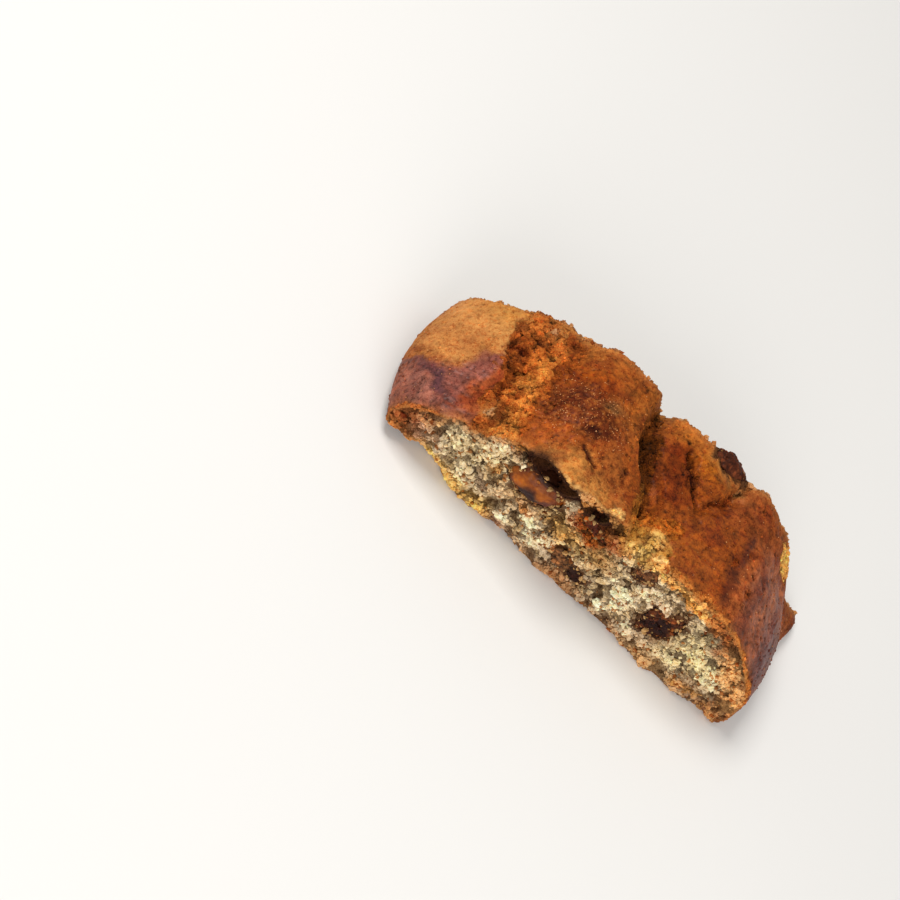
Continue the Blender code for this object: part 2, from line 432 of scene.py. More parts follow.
@dataclass(frozen=True)
class BakedFinish:
    """Crust, torn dough and crumb: colour and shine are painted on the mesh, grain is added here."""

    name: str = "baked_crust_and_crumb"
    dull: float = 0.88
    shiny: float = 0.42
    gloss: float = 0.11
    coat: float = 0.35
    grain: float = 0.30
    speckle: float = 0.9
    relief: float = 0.34
    shade: float = 0.85
    coat_rough: float = 0.32

    def make(self) -> bpy.types.Material:
        """Builds the material."""
        recipe = Recipe(self.name)
        place = recipe.place()
        fine = recipe.noise(place, self.grain, 3.0)
        coarse = recipe.noise(place, self.speckle, 2.0)
        coarseness = recipe.painted("coarse", "Fac")
        dark = (fine - 0.5) * (coarseness * 2.6 + 2.0) + (coarse - 0.5) * 2.2 + 0.22
        glaze = recipe.painted("glaze", "Fac")
        height = fine * (coarseness * 0.8 + 0.2) + coarse * 0.4
        return recipe.finish(
            Base_Color=recipe.shaded(recipe.painted("bake"), self.shade, dark),
            Roughness=self.dull - glaze * (self.dull - self.shiny) + (fine - 0.5) * 0.25,
            Coat_Weight=glaze * self.coat,
            Coat_Roughness=self.coat_rough,
            Specular_IOR_Level=self.gloss,
            Normal=recipe.bump(height, self.relief),
        )


@dataclass(frozen=True)
class FruitFinish:
    """Dried fruit or nut: colour painted on the mesh, a sticky or waxy shine, fine wrinkles."""

    name: str
    rough: float
    gloss: float
    coat: float
    wrinkle: float
    relief: float
    shade: float = 0.7
    coat_rough: float = 0.22

    def make(self) -> bpy.types.Material:
        """Builds the material."""
        recipe = Recipe(self.name)
        place = recipe.place()
        fine = recipe.noise(place, self.wrinkle, 3.0)
        return recipe.finish(
            Base_Color=recipe.shaded(recipe.painted("bake"), self.shade, fine * 1.6 - 0.3),
            Roughness=self.rough + (fine - 0.5) * 0.3,
            Specular_IOR_Level=self.gloss,
            Coat_Weight=self.coat,
            Coat_Roughness=self.coat_rough,
            Normal=recipe.bump(fine, self.relief),
        )


@dataclass(frozen=True)
class SugarFinish:
    """Coarse sugar that stayed on the crust: pale, clear and bright."""

    name: str = "coarse_sugar"
    colour: Colour = (236, 176, 112)
    shadow: Colour = (190, 108, 50)

    def make(self) -> bpy.types.Material:
        """Builds the material."""
        recipe = Recipe(self.name)
        cloud = recipe.noise(recipe.place(), 0.6)
        toned = recipe.tint(cloud * 1.6 - 0.3, opaque(self.colour), opaque(self.shadow))
        return recipe.finish(Base_Color=toned, Roughness=cloud * 0.4 + 0.2, Specular_IOR_Level=0.3)


@dataclass(frozen=True)
class TableFinish:
    """Plain pale table top."""

    name: str = "pale_table"
    colour: Colour = (240, 239, 237)
    cloud: Colour = (225, 224, 222)

    def make(self) -> bpy.types.Material:
        """Builds the material."""
        recipe = Recipe(self.name)
        cloud = recipe.noise(recipe.place(), 60.0)
        toned = recipe.tint(cloud * 0.04, opaque(self.colour), opaque(self.cloud))
        return recipe.finish(Base_Color=toned, Roughness=0.85, Specular_IOR_Level=0.2)


class Surface:
    """Plain arrays of a triangle mesh, in millimetres."""

    def __init__(self, points: Array, faces: Array) -> None:
        """Keeps the points and the triangles."""
        self.points = points
        self.faces = faces

    @classmethod
    def of(cls, obj: bpy.types.Object) -> Surface:
        """Triangles of an object with its modifiers, in millimetres."""
        shown = obj.evaluated_get(bpy.context.evaluated_depsgraph_get())
        mesh = shown.to_mesh()
        mesh.calc_loop_triangles()
        points = np.empty(len(mesh.vertices) * 3)
        mesh.vertices.foreach_get("co", points)
        faces = np.empty(len(mesh.loop_triangles) * 3, np.int32)
        mesh.loop_triangles.foreach_get("vertices", faces)
        shown.to_mesh_clear()
        return cls(points.reshape(-1, 3) / MM, faces.reshape(-1, 3))

    def modified(self, kind: str, **settings: object) -> Surface:
        """The same solid after one modifier.

        Args:
            kind: Blender's name of the modifier.
            settings: Its properties.

        Returns:
            The new surface.
        """
        mesh = self._mesh("rough_shape", 1.0)
        holder = linked("rough_shape", mesh)
        modifier = holder.modifiers.new("reshape", kind)
        for key, value in settings.items():
            setattr(modifier, key, value)
        made = Surface.of(holder)
        bpy.data.objects.remove(holder)
        bpy.data.meshes.remove(mesh)
        return Surface(made.points * MM, made.faces)

    def even(self, cell: float) -> Surface:
        """The same solid with even faces of one size in millimetres."""
        return self.modified("REMESH", mode="VOXEL", voxel_size=cell)

    def thinned(self, faces: int) -> Surface:
        """The same surface with fewer triangles, kept where the relief needs them."""
        return self.modified("DECIMATE", ratio=min(1.0, faces / len(self.faces)))

    def corners(self) -> Array:
        """Three corners of every triangle."""
        return self.points[self.faces]

    def slopes(self) -> tuple[Array, Array]:
        """Outward direction and area of every triangle."""
        corners = self.corners()
        cross = np.cross(corners[:, 1] - corners[:, 0], corners[:, 2] - corners[:, 0])
        length = np.linalg.norm(cross, axis=1)
        return cross / np.maximum(length, 1e-12)[:, None], length / 2.0

    def normals(self) -> Array:
        """Outward direction at every point."""
        directions, areas = self.slopes()
        total = np.zeros_like(self.points)
        for corner in range(3):
            np.add.at(total, self.faces[:, corner], directions * areas[:, None])
        return total / np.maximum(np.linalg.norm(total, axis=1), 1e-12)[:, None]

    def tree(self, keep: Array | None = None) -> BVHTree:
        """Search tree over the triangles, or over those that are kept."""
        faces = self.faces if keep is None else self.faces[keep]
        return BVHTree.FromPolygons(self.points.tolist(), faces.tolist())

    def object(
        self, name: str, paint: Mapping[str, Array], finish: bpy.types.Material
    ) -> bpy.types.Object:
        """Blender object in metres with painted colours and values.

        Args:
            name: Name of the piece.
            paint: Colour (three numbers a point) or value (one a point) by name.
            finish: Material of the piece.

        Returns:
            The new object.
        """
        mesh = self._mesh(name, MM)
        for key, values in paint.items():
            kind = "FLOAT_COLOR" if values.ndim == 2 else "FLOAT"
            layer = mesh.attributes.new(key, kind, "POINT")
            if kind == "FLOAT":
                layer.data.foreach_set("value", values.astype(np.float32))
            else:
                full = np.ones((len(values), 4), np.float32)
                full[:, :3] = values
                layer.data.foreach_set("color", full.ravel())
        mesh.shade_smooth()
        mesh.update()
        mesh.materials.append(finish)
        LOG.info("%s: %d faces", name, len(mesh.polygons))
        return linked(name, mesh)

    def _mesh(self, name: str, scale: float) -> bpy.types.Mesh:
        """Mesh of the triangles at a scale."""
        mesh = bpy.data.meshes.new(name)
        mesh.from_pydata((self.points * scale).tolist(), [], self.faces.tolist())
        return mesh


def distances(tree: BVHTree, points: Array) -> Array:
    """Distance of each point from the triangles of a search tree."""
    return np.array([tree.find_nearest(point)[3] for point in points.tolist()])


SKIN_MARKS: dict[str, Mark] = {
    "tan end": spot(-46, 6.5, 9.0, 10.5, (214, 150, 82), soft=0.22, ragged=2.2),
    "tan back end": spot(-38, 15, 7, 6, (200, 138, 66), soft=0.5, ragged=1.5),
    "tan freckles": spot(-44, 2, 5, 4, (180, 108, 52), soft=0.8, ragged=2.4, strength=0.6),
    "reddish skin": spot(-37, -9.5, 7, 9, (166, 82, 40), soft=0.4, ragged=2.2),
    # Partly painted reflection: the purple and pink tones of the glazed crust here stand for the pale room
    # mirrored in its shine, over its brown; the glaze value gives the real shine.
    "purple glaze and painted sheen": spot(-47, -10.5, 5.6, 6.0, (144, 82, 68), soft=0.3, ragged=2.6, glaze=0.7),
    "purple band": stroke(1.8, (146, 82, 66), (-46, -9), (-42.6, -5.5), (-39.6, 0.4), soft=0.5, glaze=0.6),
    "purple streak": stroke(
        1.1, (90, 46, 54), (-50.5, -4.6), (-47, -6.6), (-45, -11), soft=0.5, ragged=1.6, strength=0.85,
        glaze=0.9,
    ),
    # Painted highlight: a pink gloss streak on the glazed crust.
    "pink painted highlight": stroke(
        1.1, (170, 108, 90), (-49.4, -8.5), (-46, -13), soft=0.5, ragged=1.6, strength=0.6, glaze=0.9,
    ),
    "purple rim": stroke(1.2, (112, 56, 44), (-44, -15), (-38, -14.4), soft=0.5, strength=0.6, glaze=0.5),
    "lobe orange": spot(-23, 5, 6, 7, (158, 76, 14), soft=0.6),
    "lobe back light": spot(-24, 13, 5, 4, (176, 104, 40), strength=0.7),
    "lobe sugar": spot(-20.5, -1.5, 8.5, 6.5, (120, 54, 18), soft=0.45, ragged=2.4, crag=0.22, sugar=1.0),
    "grey bloom": spot(-16.5, 2.5, 2.8, 1.4, (128, 84, 44), turn=25, soft=0.6, ragged=0.8),
    "lobe tan": spot(-10, 8, 6, 7, (158, 88, 30), soft=0.6),
    "lobe front": spot(-25, -12, 6, 5, (160, 80, 24), soft=0.5, ragged=1.6),
    "lobe front tan": spot(-14, -15, 9, 4.5, (192, 126, 58), soft=0.5, ragged=1.6),
    "lobe middle tan": spot(-10.5, -9, 4, 4, (152, 84, 32), soft=0.6, ragged=1.2),
    "inner lobe dark": spot(2.5, 5, 4.5, 7, (128, 54, 10), soft=0.6, ragged=2.6),
    "inner lobe light": spot(9.5, 10, 5, 4, (168, 94, 20), soft=0.5, ragged=2.4),
    "inner lobe back": spot(1, 13, 5, 3, (176, 100, 34), soft=0.6, ragged=2.4),
    "inner lobe scorch": stroke(1.2, (104, 38, 8), (1, 2), (6, 0), (9, -4), ragged=2.6, strength=0.45),
    "smooth brown": spot(15, -3, 9, 13, (140, 68, 14), soft=0.4, ragged=2.4, glaze=0.3),
    "smooth light": spot(13, -9, 5, 3, (168, 88, 24), soft=0.8, strength=0.6, glaze=0.3),
    "back red": spot(24, 9, 8, 7, (144, 72, 28), soft=0.6, ragged=2.4),
    # Partly painted reflection: the mauve tones of the glazed right end stand for the pale room mirrored in
    # its shine, over its brown; the glaze value gives the real shine.
    "mauve glaze and painted sheen": spot(37, -4, 11, 12, (160, 94, 62), soft=0.4, ragged=2.8, glaze=0.42),
    "mauve below": spot(32, -12.5, 4.5, 2.6, (118, 58, 32), ragged=2.4, strength=0.75, glaze=0.3),
    "mauve dark": spot(44, -8, 6, 9, (116, 58, 44), soft=0.6, ragged=2.4, glaze=0.55),
    "mauve streak": stroke(
        1.0, (104, 52, 48), (38, 4), (42, -6), (44, -14), ragged=1.0, strength=0.6, glaze=0.8,
    ),
    "orange ridge": stroke(1.1, (170, 90, 40), (25.5, 4), (26.5, -4), (27, -13), soft=0.8, strength=0.8),
    "mauve ridge": stroke(
        1.3, (86, 32, 12), (24, 3), (23.6, -4), (24, -12), soft=0.8, ragged=2.0, strength=0.75, glaze=0.5,
    ),
    "mauve ridge right": stroke(
        1.5, (110, 52, 32), (31, 1), (30.5, -7), (31, -14), soft=0.8, ragged=2.0, strength=0.7, glaze=0.5,
    ),
}

TORN_MARKS: dict[str, Mark] = {
    "left crack": stroke(
        4.5, (170, 94, 34), (-33.6, 17), (-33.9, 8), (-33.4, 0), (-33.2, -9), (-32.6, -17), layer=TORN,
        soft=0.35, ragged=3.4, crag=1.0,
    ),
    "left crack light": stroke(
        1.5, (208, 138, 60), (-31.4, 5), (-32.2, -3), (-31.2, -8), (-31.8, -15), layer=TORN, soft=0.6,
        ragged=4.0, strength=0.75,
    ),
    "left crack back light": stroke(
        1.3, (196, 124, 56), (-30.6, 15), (-29.8, 9), layer=TORN, ragged=2.0, strength=0.6,
    ),
    "left crack border": stroke(
        0.8, (104, 44, 8), (-38.6, 12), (-38.4, 8), (-38.0, 4), (-36.4, 0), (-35.6, -5), soft=0.8,
        ragged=1.9, strength=0.85, depth=-0.5, crag=0.9,
    ),
    "left crack far border": stroke(
        0.8, (112, 48, 12), (-27.8, 13), (-27.2, 8), (-28.6, 3), soft=0.8, strength=0.7, depth=-0.3,
        crag=0.8,
    ),
    "left crack dark": stroke(
        1.1, (118, 54, 14), (-35.4, 6), (-34.6, 0), (-35.0, -6), layer=TORN, ragged=4.0, strength=0.7,
        depth=-0.3,
    ),
    "inner lobe crumble": spot(6, 5, 7, 8, (150, 78, 20), layer=TORN, soft=0.8, ragged=2.0, crag=0.33),
    "lobe edge crumble": stroke(
        2.6, (158, 90, 34), (-9, 14), (-9, 4), (-8, -8), (-4, -14), layer=TORN, soft=0.8, ragged=1.6,
        crag=0.34,
    ),
    "lobe left crumble": stroke(
        2.4, (158, 82, 26), (-27, 12), (-27, 0), (-27, -12), layer=TORN, soft=0.9, crag=0.36,
    ),
    "right lobe crumble": stroke(
        3.0, (160, 86, 34), (14, 14), (22, 12), (30, 10), layer=TORN, soft=0.9, crag=0.30,
    ),
    "left skin crumble": stroke(
        2.0, (150, 78, 26), (-39, 6), (-38, -6), (-36, -14), layer=TORN, soft=0.9, ragged=1.6, crag=0.32,
    ),
    "pit top": spot(-34.4, 9.6, 1.9, 1.2, (84, 32, 8), soft=0.8, depth=-1.2, crag=1.0),
    "pit middle": spot(-36.2, 5.2, 1.3, 1.0, (90, 34, 6), soft=0.8, ragged=1.6, depth=-1.1, crag=1.0),
    "pit right": spot(-28.6, 12.4, 1.2, 0.9, (116, 50, 12), soft=0.8, ragged=1.0, depth=-0.8, crag=1.0),
    "pit left": spot(-38.2, 5.4, 0.8, 1.6, (104, 44, 10), soft=0.8, ragged=1.0, depth=-0.9, crag=1.0),
    "pit front": stroke(
        0.9, (120, 54, 12), (-33.6, -8.8), (-33.4, -11.8), soft=0.9, ragged=1.2, depth=-1.0, crag=1.0,
    ),
    # Partly painted shade: the valley is darkened in colour where the groove lies in shade, over the brown
    # of its torn dough.
    "valley": stroke(
        1.9, (88, 42, 4), (-5.2, 17), (-6.2, 9), (-4.2, 3), (-2.0, -2), (0.8, -7), (3.0, -17), depth=0.2,
        crag=0.8,
    ),
    "valley olive painted shade": stroke(
        1.0, (76, 38, 2), (-5.6, 6), (-3.8, -1), (-1.6, -7), soft=0.8, ragged=0.9, strength=0.8,
    ),
    "valley mouth": stroke(2.2, (142, 90, 28), (-0.6, -10), (1.6, -17), ragged=1.2, crag=0.9),
    "lobe burn": spot(-18.2, -5.2, 1.5, 1.1, (70, 22, 4), soft=0.8, ragged=1.0, depth=-0.4),
    "lobe burn small": spot(-15.6, -4.2, 0.9, 0.6, (84, 28, 6), soft=0.8, ragged=0.8, depth=-0.3),
    "lobe crack": stroke(
        0.34, (84, 30, 8), (-18.6, -9.6), (-16.6, -11.2), (-13.8, -11.2), soft=0.9, ragged=1.1, depth=-0.5,
        crag=0.55,
    ),
    "lobe pit": spot(-7.6, -6.4, 0.6, 0.7, (58, 20, 4), soft=0.8, ragged=0.5, depth=-1.0, crag=0.5),
    "lobe pit low": spot(-7.2, -9.0, 0.5, 1.1, (96, 40, 8), soft=0.8, ragged=0.6, depth=-0.4, crag=0.6),
    "inner crack": stroke(
        0.6, (58, 16, 2), (3.4, 8.6), (4.4, 6.0), (7.0, 4.4), (9.2, 1.2), soft=0.9, ragged=1.2, depth=-0.8,
        crag=0.9,
    ),
    "inner crack low": stroke(
        0.3, (90, 34, 6), (4.6, 6.0), (5.2, 2.6), soft=0.8, ragged=0.6, depth=-0.4, crag=0.6,
    ),
    "lip edge": stroke(
        0.5, (108, 46, 10), (11.4, 2.4), (14.4, 6.8), (16.6, 10.4), (18.8, 15.5), soft=0.9, ragged=1.5,
        depth=-0.3, crag=0.9,
    ),
    "torn front": spot(5.6, -13.6, 4.6, 3.4, (184, 134, 58), layer=TORN, soft=0.5, depth=-0.2, crag=1.0),
    "torn front brown": spot(6.2, -8.8, 3.6, 3.0, (176, 100, 30), layer=TORN, soft=0.6, crag=0.8),
    "cream crumb left": spot(
        2.6, -15.6, 1.4, 1.0, (236, 202, 124), layer=TORN, soft=0.6, ragged=1.6, crag=1.0,
    ),
    "cream crumb middle": spot(5.8, -11.3, 1.5, 1.1, (226, 188, 108), layer=TORN, soft=0.6, crag=1.0),
    "cream crumb right": spot(
        8.8, -15.2, 1.7, 0.9, (244, 216, 148), layer=TORN, soft=0.6, ragged=1.6, crag=1.0,
    ),
    # Painted shadow between the cream crumbs at the front of the torn dough.
    "torn front painted shadow": spot(
        4.8, -13.8, 1.5, 1.0, (96, 54, 14), layer=TORN, ragged=1.6, strength=0.85, depth=-0.5, crag=1.0,
    ),
    "valley crumb": stroke(
        1.1, (120, 74, 22), (-2.2, -5), (-0.6, -12), layer=TORN, ragged=2.2, strength=0.6, crag=1.0,
    ),
    "front rim": stroke(
        1.6, (178, 108, 44), (8, -16.8), (20, -16.6), (34, -16.8), (45, -15), layer=TORN, soft=0.8,
        crag=0.85,
    ),
    "front rim left": stroke(
        0.8, (160, 84, 30), (-49, -15.5), (-40, -17), (-30, -17.4), layer=TORN, soft=0.8, ragged=1.0,
        crag=0.85,
    ),
    "lip rim": stroke(
        1.1, (214, 170, 104), (-24, -17.5), (-16, -19), (-8, -17.5), (-4, -15), layer=TORN, soft=0.8,
        ragged=1.0, crag=0.9,
    ),
    "pit row": spot(28.6, -7.0, 0.8, 1.2, (118, 54, 12), soft=0.9, ragged=1.0, depth=-0.5, crag=0.9),
    "pit row top": spot(28.0, -2.2, 0.6, 0.6, (126, 58, 14), soft=0.9, ragged=0.8, depth=-0.4, crag=0.8),
    "pit row left": spot(22.6, -3.2, 0.6, 1.2, (134, 62, 16), soft=0.9, ragged=0.9, depth=-0.4, crag=0.8),
    "pit row low": spot(25.0, 0.6, 0.5, 0.5, (126, 58, 14), soft=0.9, ragged=0.7, depth=-0.4, crag=0.7),
    "torn right back": spot(
        35.5, 12.0, 3.4, 3.2, (228, 178, 96), layer=TORN, soft=0.5, ragged=1.5, crag=1.0,
    ),
}

FRONT_CUT_MARKS: dict[str, Mark] = {
    "cream left": spot(-30, 14, 9, 6, (214, 192, 146), ragged=2.0, strength=0.7),
    "yellow middle": spot(-4, 14.5, 8, 5, (216, 176, 104), ragged=2.0, strength=0.75),
    "cream right": spot(29, 12, 9, 7, (236, 218, 168), ragged=2.0, strength=0.8),
    "torn yellow": spot(4, 24.5, 5, 3, (232, 190, 100), soft=0.6, ragged=1.2, strength=0.8),
    "lip under": stroke(
        2.2, (176, 116, 42), (-27, 23), (-17, 25.6), (-6, 25), (0, 24.6), soft=0.6, ragged=1.0,
        strength=0.75,
    ),
    "fruit stain": spot(-4.2, 19.6, 6.4, 3.9, (170, 88, 16), soft=0.35, ragged=2.2, strength=0.95),
    "fruit stain dark": stroke(
        0.9, (80, 26, 8), (-7, 22), (-2, 20.4), (0, 18), soft=0.8, strength=0.85, depth=-0.4,
    ),
    "orange under nut": spot(-16, 10.6, 1.6, 1.2, (214, 132, 44), ragged=1.2, strength=0.8),
    "orange by nut": spot(-26.6, 14, 1.0, 1.4, (216, 150, 60), ragged=1.0, strength=0.8),
    "orange low": spot(-8, 13, 3.2, 2.4, (252, 196, 112), ragged=1.6, strength=0.85),
    "grey patch": spot(-22, 8, 4, 2.4, (196, 166, 126), soft=0.8, ragged=2.0, strength=0.6),
    "tan patch right": spot(34, 17, 2.6, 2.2, (218, 150, 88), strength=0.75),
    "dark band spots": stroke(
        0.9, (112, 52, 22), (30, 18.4), (33, 15.6), soft=0.8, ragged=2.4, strength=0.6, depth=-0.3,
    ),
    "red spots base": stroke(
        1.0, (120, 52, 28), (-20, 1.2), (-16, 1.6), soft=0.8, ragged=2.0, strength=0.6,
    ),
    "yellow spots base": stroke(
        0.9, (226, 160, 62), (33, 2.6), (38, 3.6), soft=0.8, ragged=2.2, strength=0.7,
    ),
    "yellow below lip": spot(2, 15, 3.4, 2.6, (186, 140, 78), strength=0.8),
    "light top": stroke(1.6, (255, 202, 118), (10, 24.5), (18, 24), (25, 23.6), ragged=1.6, strength=0.85),
    "base brown": spot(0, 1.8, 5, 1.8, (176, 122, 72), soft=0.8, ragged=1.6, strength=0.8),
    "base light": spot(25, 2, 6, 2.0, (208, 166, 112), soft=0.8, strength=0.8),
    "brown vein": stroke(0.9, (96, 48, 26), (-28, 11), (-24, 7), soft=0.8, strength=0.6, depth=-0.3),
    "brown vein left": stroke(0.8, (110, 60, 34), (-40, 11), (-35, 7), soft=0.8, strength=0.6, depth=-0.3),
    "nut stain": spot(-18, 12, 7, 2.2, (198, 140, 64), soft=0.8, ragged=1.6, strength=0.5),
    "fig stain": spot(20.8, 12.5, 4.4, 7.2, (138, 80, 36), soft=0.6, strength=0.75),
    "low stain": spot(-0.6, 6.6, 6.4, 2.7, (120, 72, 32), soft=0.6, ragged=1.6, strength=0.7),
    "small stain": spot(9.4, 19.8, 3.4, 3.0, (128, 82, 44), soft=0.6, ragged=1.4, strength=0.75),
    "brown spots right": spot(35, 5, 4, 2.4, (140, 88, 40), strength=0.6),
    "crust band top": stroke(
        1.9, (180, 104, 42), (26, 24), (32, 20.6), soft=0.6, ragged=2.4, strength=0.85,
    ),
    "crust band right": stroke(
        2.4, (242, 186, 118), (36, 17), (40, 13), (44, 7), soft=0.6, ragged=2.4, strength=0.75,
    ),
    # Painted light: the lowest band of the front cut on the left is made very pale, to look lit where the
    # slice's own overhang shades it.
    "base left painted light": stroke(
        2.6, (255, 208, 122), (-46, 1.5), (-34, 1.8), (-22, 1.8), soft=0.8, ragged=2.0, strength=0.9,
    ),
    "brown corner": spot(-45, 6, 6, 5.5, (172, 92, 40), strength=0.8),
    "golden edge": stroke(
        1.1, (246, 166, 66), (14, 23.6), (18, 23.6), (22, 22.8), ragged=1.6, strength=0.7,
    ),
    "lip shadow": stroke(
        1.5, (56, 24, 8), (-25, 22.6), (-19, 24.6), (-12.5, 23.6), soft=0.5, ragged=0.8, depth=-1.5,
    ),
    "notch shadow": stroke(
        1.0, (76, 36, 10), (-10, 24.4), (-6, 25.0), (-3.6, 23.6), soft=0.6, ragged=0.8, depth=-1.0,
    ),
}

BACK_CUT_MARKS: dict[str, Mark] = {
    # Painted warm light: the crumb of the back cut is made warmer and paler to make up for the cooler light
    # that falls on it.
    "warm crumb painted light": spot(0, 12, 46, 11, (238, 196, 138), soft=0.6, ragged=2.4, strength=0.5),
    "cream left": spot(-22, 15, 12, 6, (226, 204, 156), ragged=2.4, strength=0.7),
    "yellow middle": spot(6, 13, 12, 6, (214, 176, 108), ragged=2.4, strength=0.7),
    "cream right": spot(32, 9, 8, 5, (228, 206, 154), ragged=2.0, strength=0.7),
    "nut stain": spot(21, 14, 6.6, 4.6, (160, 100, 42), soft=0.6, strength=0.6),
    "fig stain": spot(-26, 11.5, 5.8, 5.2, (128, 74, 36), soft=0.6, strength=0.7),
    "middle stain": spot(-4, 15, 5.6, 4.6, (124, 78, 40), soft=0.6, strength=0.65),
    "brown spots": spot(8, 6, 7, 2.4, (150, 98, 48), strength=0.5),
    "brown left": spot(-36, 8, 5, 3, (172, 118, 66), ragged=2.2, strength=0.5),
    "brown right": stroke(1.6, (176, 118, 62), (24, 4.5), (30, 6), (38, 4.5), ragged=2.2, strength=0.5),
    "yellow high": spot(-12, 20, 5, 2.4, (226, 172, 92), ragged=2.2, strength=0.5),
}


@dataclass(frozen=True)
class Hollow:
    """Gap under the torn lip, which is painted dark as shadow on the dough and on the fruit in it."""

    centre: tuple[float, float, float]
    radii: tuple[float, float, float]

    def share(self, points: Array) -> Array:
        """How far each point lies inside the gap, from 0 to 1."""
        away = np.linalg.norm((points - np.array(self.centre)) / np.array(self.radii), axis=1)
        return 1.0 - smooth((away - 1.12) / 0.25)


HOLLOWS = (
    Hollow((-18.54, -17.62, 24.0), (6.4, 5.6, 3.0)),
    Hollow((-7.54, -17.42, 24.2), (3.0, 5.0, 2.4)),
)


def in_hollows(points: Array) -> Array:
    """How far each point lies inside any of the gaps, from 0 to 1."""
    return np.max([each.share(points) for each in HOLLOWS], axis=0)


@dataclass
class Slice:
    """The baked slice: crust, torn dough, crumb and flat base in one skin."""

    node: str = "biscuit"
    cell: float = 0.30
    faces: int = 196_000
    edge: float = 0.7
    proud: float = 0.45
    crust_tone: Colour = (158, 80, 24)
    torn_tone: Colour = (166, 90, 28)
    crumb_pale: Colour = (252, 233, 198)
    crumb_cream: Colour = (228, 198, 148)
    crumb_shade: Colour = (122, 86, 44)
    # Painted shade colour for the crumb's crevices and for the dough under the loose crumbs.
    crevice_painted_shade: Colour = (84, 50, 24)
    band_orange: Colour = (234, 170, 94)
    band_dark: Colour = (164, 92, 36)
    base_brown: Colour = (214, 156, 92)
    base_dark: Colour = (112, 62, 30)
    bottom_tan: Colour = (168, 104, 50)
    bottom_dark: Colour = (112, 58, 24)
    end_tone: Colour = (146, 74, 28)
    rim_tan: Colour = (222, 158, 88)
    foot_brown: Colour = (116, 58, 24)
    # Painted shade colour for the gaps round the pieces of fruit and nut.
    pocket_painted_shade: Colour = (88, 50, 22)
    # Painted shadow colour for the gap under the torn lip.
    hollow_painted_shade: Colour = (48, 18, 8)
    # Colour of the sugar specks on the crust, partly painted glints.
    sugar_speck_and_glint: Colour = (206, 122, 50)
    sugar_burn: Colour = (78, 28, 6)
    warm_gain: Colour = (1.28, 1.24, 1.10)
    burnt_gain: Colour = (0.66, 0.48, 0.44)
    pocket_reach: float = 0.8
    cut_slope: float = 0.55
    cut_start: float = 10.5
    base_slope: float = -0.75
    base_top: float = 4.0
    top_band: tuple[tuple[float, float], ...] = (
        (-50, 5.0), (-42, 4.0), (-38, 1.6), (-28, 1.2), (-5, 2.0),
        (4, 1.4), (12, 2.2), (24, 3.4), (32, 5.0), (46, 6.5),
    )
    solid: Surface = field(init=False)
    labels: dict[str, Array] = field(init=False)

    def __post_init__(self) -> None:
        """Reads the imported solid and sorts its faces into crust, cuts, base and pockets."""
        self.solid = Surface.of(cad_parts[self.node])
        directions, _ = self.solid.slopes()
        middle = self.solid.corners().mean(axis=1)
        pocket = np.zeros(len(middle), bool)
        for name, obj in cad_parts.items():
            if name != self.node:
                pocket |= distances(Surface.of(obj).tree(), middle) < self.pocket_reach
        across = directions[:, 1]
        cut = ((np.abs(across) > self.cut_slope) & (np.abs(middle[:, 1]) > self.cut_start)) | pocket
        base = (directions[:, 2] < self.base_slope) & (middle[:, 2] < self.base_top) & ~cut
        self.labels = {"cut": cut, "base": base, "crust": ~(cut | base), "pocket": pocket}

    def measured(self, points: Array) -> dict[str, Array]:
        """Distance of each point from each kind of face of the solid."""
        return {kind: distances(self.solid.tree(keep), points) for kind, keep in self.labels.items()}

    def build(self, finish: bpy.types.Material) -> tuple[Surface, dict[str, Array]]:
        """Makes the dressed slice.

        Args:
            finish: Material of crust and crumb.

        Returns:
            Its surface and what is painted on it.
        """
        fine = self.solid.even(self.cell)
        LOG.info("even surface of %d triangles", len(fine.faces))
        painted = self.shape(fine)
        fine.points = painted.pop("moved")
        shown = fine.thinned(self.faces)
        paint = self.carried(fine, painted, shown)
        shown_paint = {key: paint[key] for key in ("bake", "glaze", "coarse")}
        piece = shown.object("baked_slice", shown_paint, finish)
        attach(piece, "root")
        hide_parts(self.node)
        return shown, paint

    @staticmethod
    def carried(fine: Surface, painted: dict[str, Array], shown: Surface) -> dict[str, Array]:
        """Paint of the fine surface taken over to the thinned one, from the nearest point."""
        tree = KDTree(len(fine.points))
        for index, point in enumerate(fine.points.tolist()):
            tree.insert(point, index)
        tree.balance()
        nearest = np.array([tree.find(point)[1] for point in shown.points.tolist()])
        return {key: values[nearest] for key, values in painted.items()}

    def shape(self, fine: Surface) -> dict[str, Array]:
        """Works out the relief and the paint of every point.

        Args:
            fine: Even surface that follows the solid.

        Returns:
            Moved points under "moved", and the paint by name.
        """
        points, normals = fine.points, fine.normals()
        gap = self.measured(points)
        on_cut = smooth(0.5 + (np.minimum(gap["crust"], gap["base"]) - gap["cut"]) / self.edge)
        on_base = smooth(0.5 + (np.minimum(gap["crust"], gap["cut"]) - gap["base"]) / self.edge)
        in_pocket = 1.0 - smooth((gap["pocket"] - 0.1) / 0.5)
        hollow = in_hollows(points)
        crust = self.crust(points, gap)
        cut = self.cut(points, normals, gap)
        base = self.bottom(points)
        rise = blend(blend(crust["rise"], cut["rise"], on_cut), base["rise"], on_base)
        rise *= (1.0 - 0.75 * in_pocket) * (1.0 - 0.6 * hollow)
        low = smooth(points[:, 2] / 1.2)
        rise = np.where(rise < 0, rise * (0.25 + 0.75 * low), rise * low)
        moved = points + normals * rise[:, None]
        moved = np.clip(moved, LOWEST - self.proud * np.array((1, 1, 0)), HIGHEST + self.proud)
        bake = blend(blend(crust["bake"], cut["bake"], on_cut), base["bake"], on_base)
        # Painted shade: the dough is darkened in the gaps round each piece of fruit or nut.
        bake = toward(bake, self.pocket_painted_shade, in_pocket * 0.8)
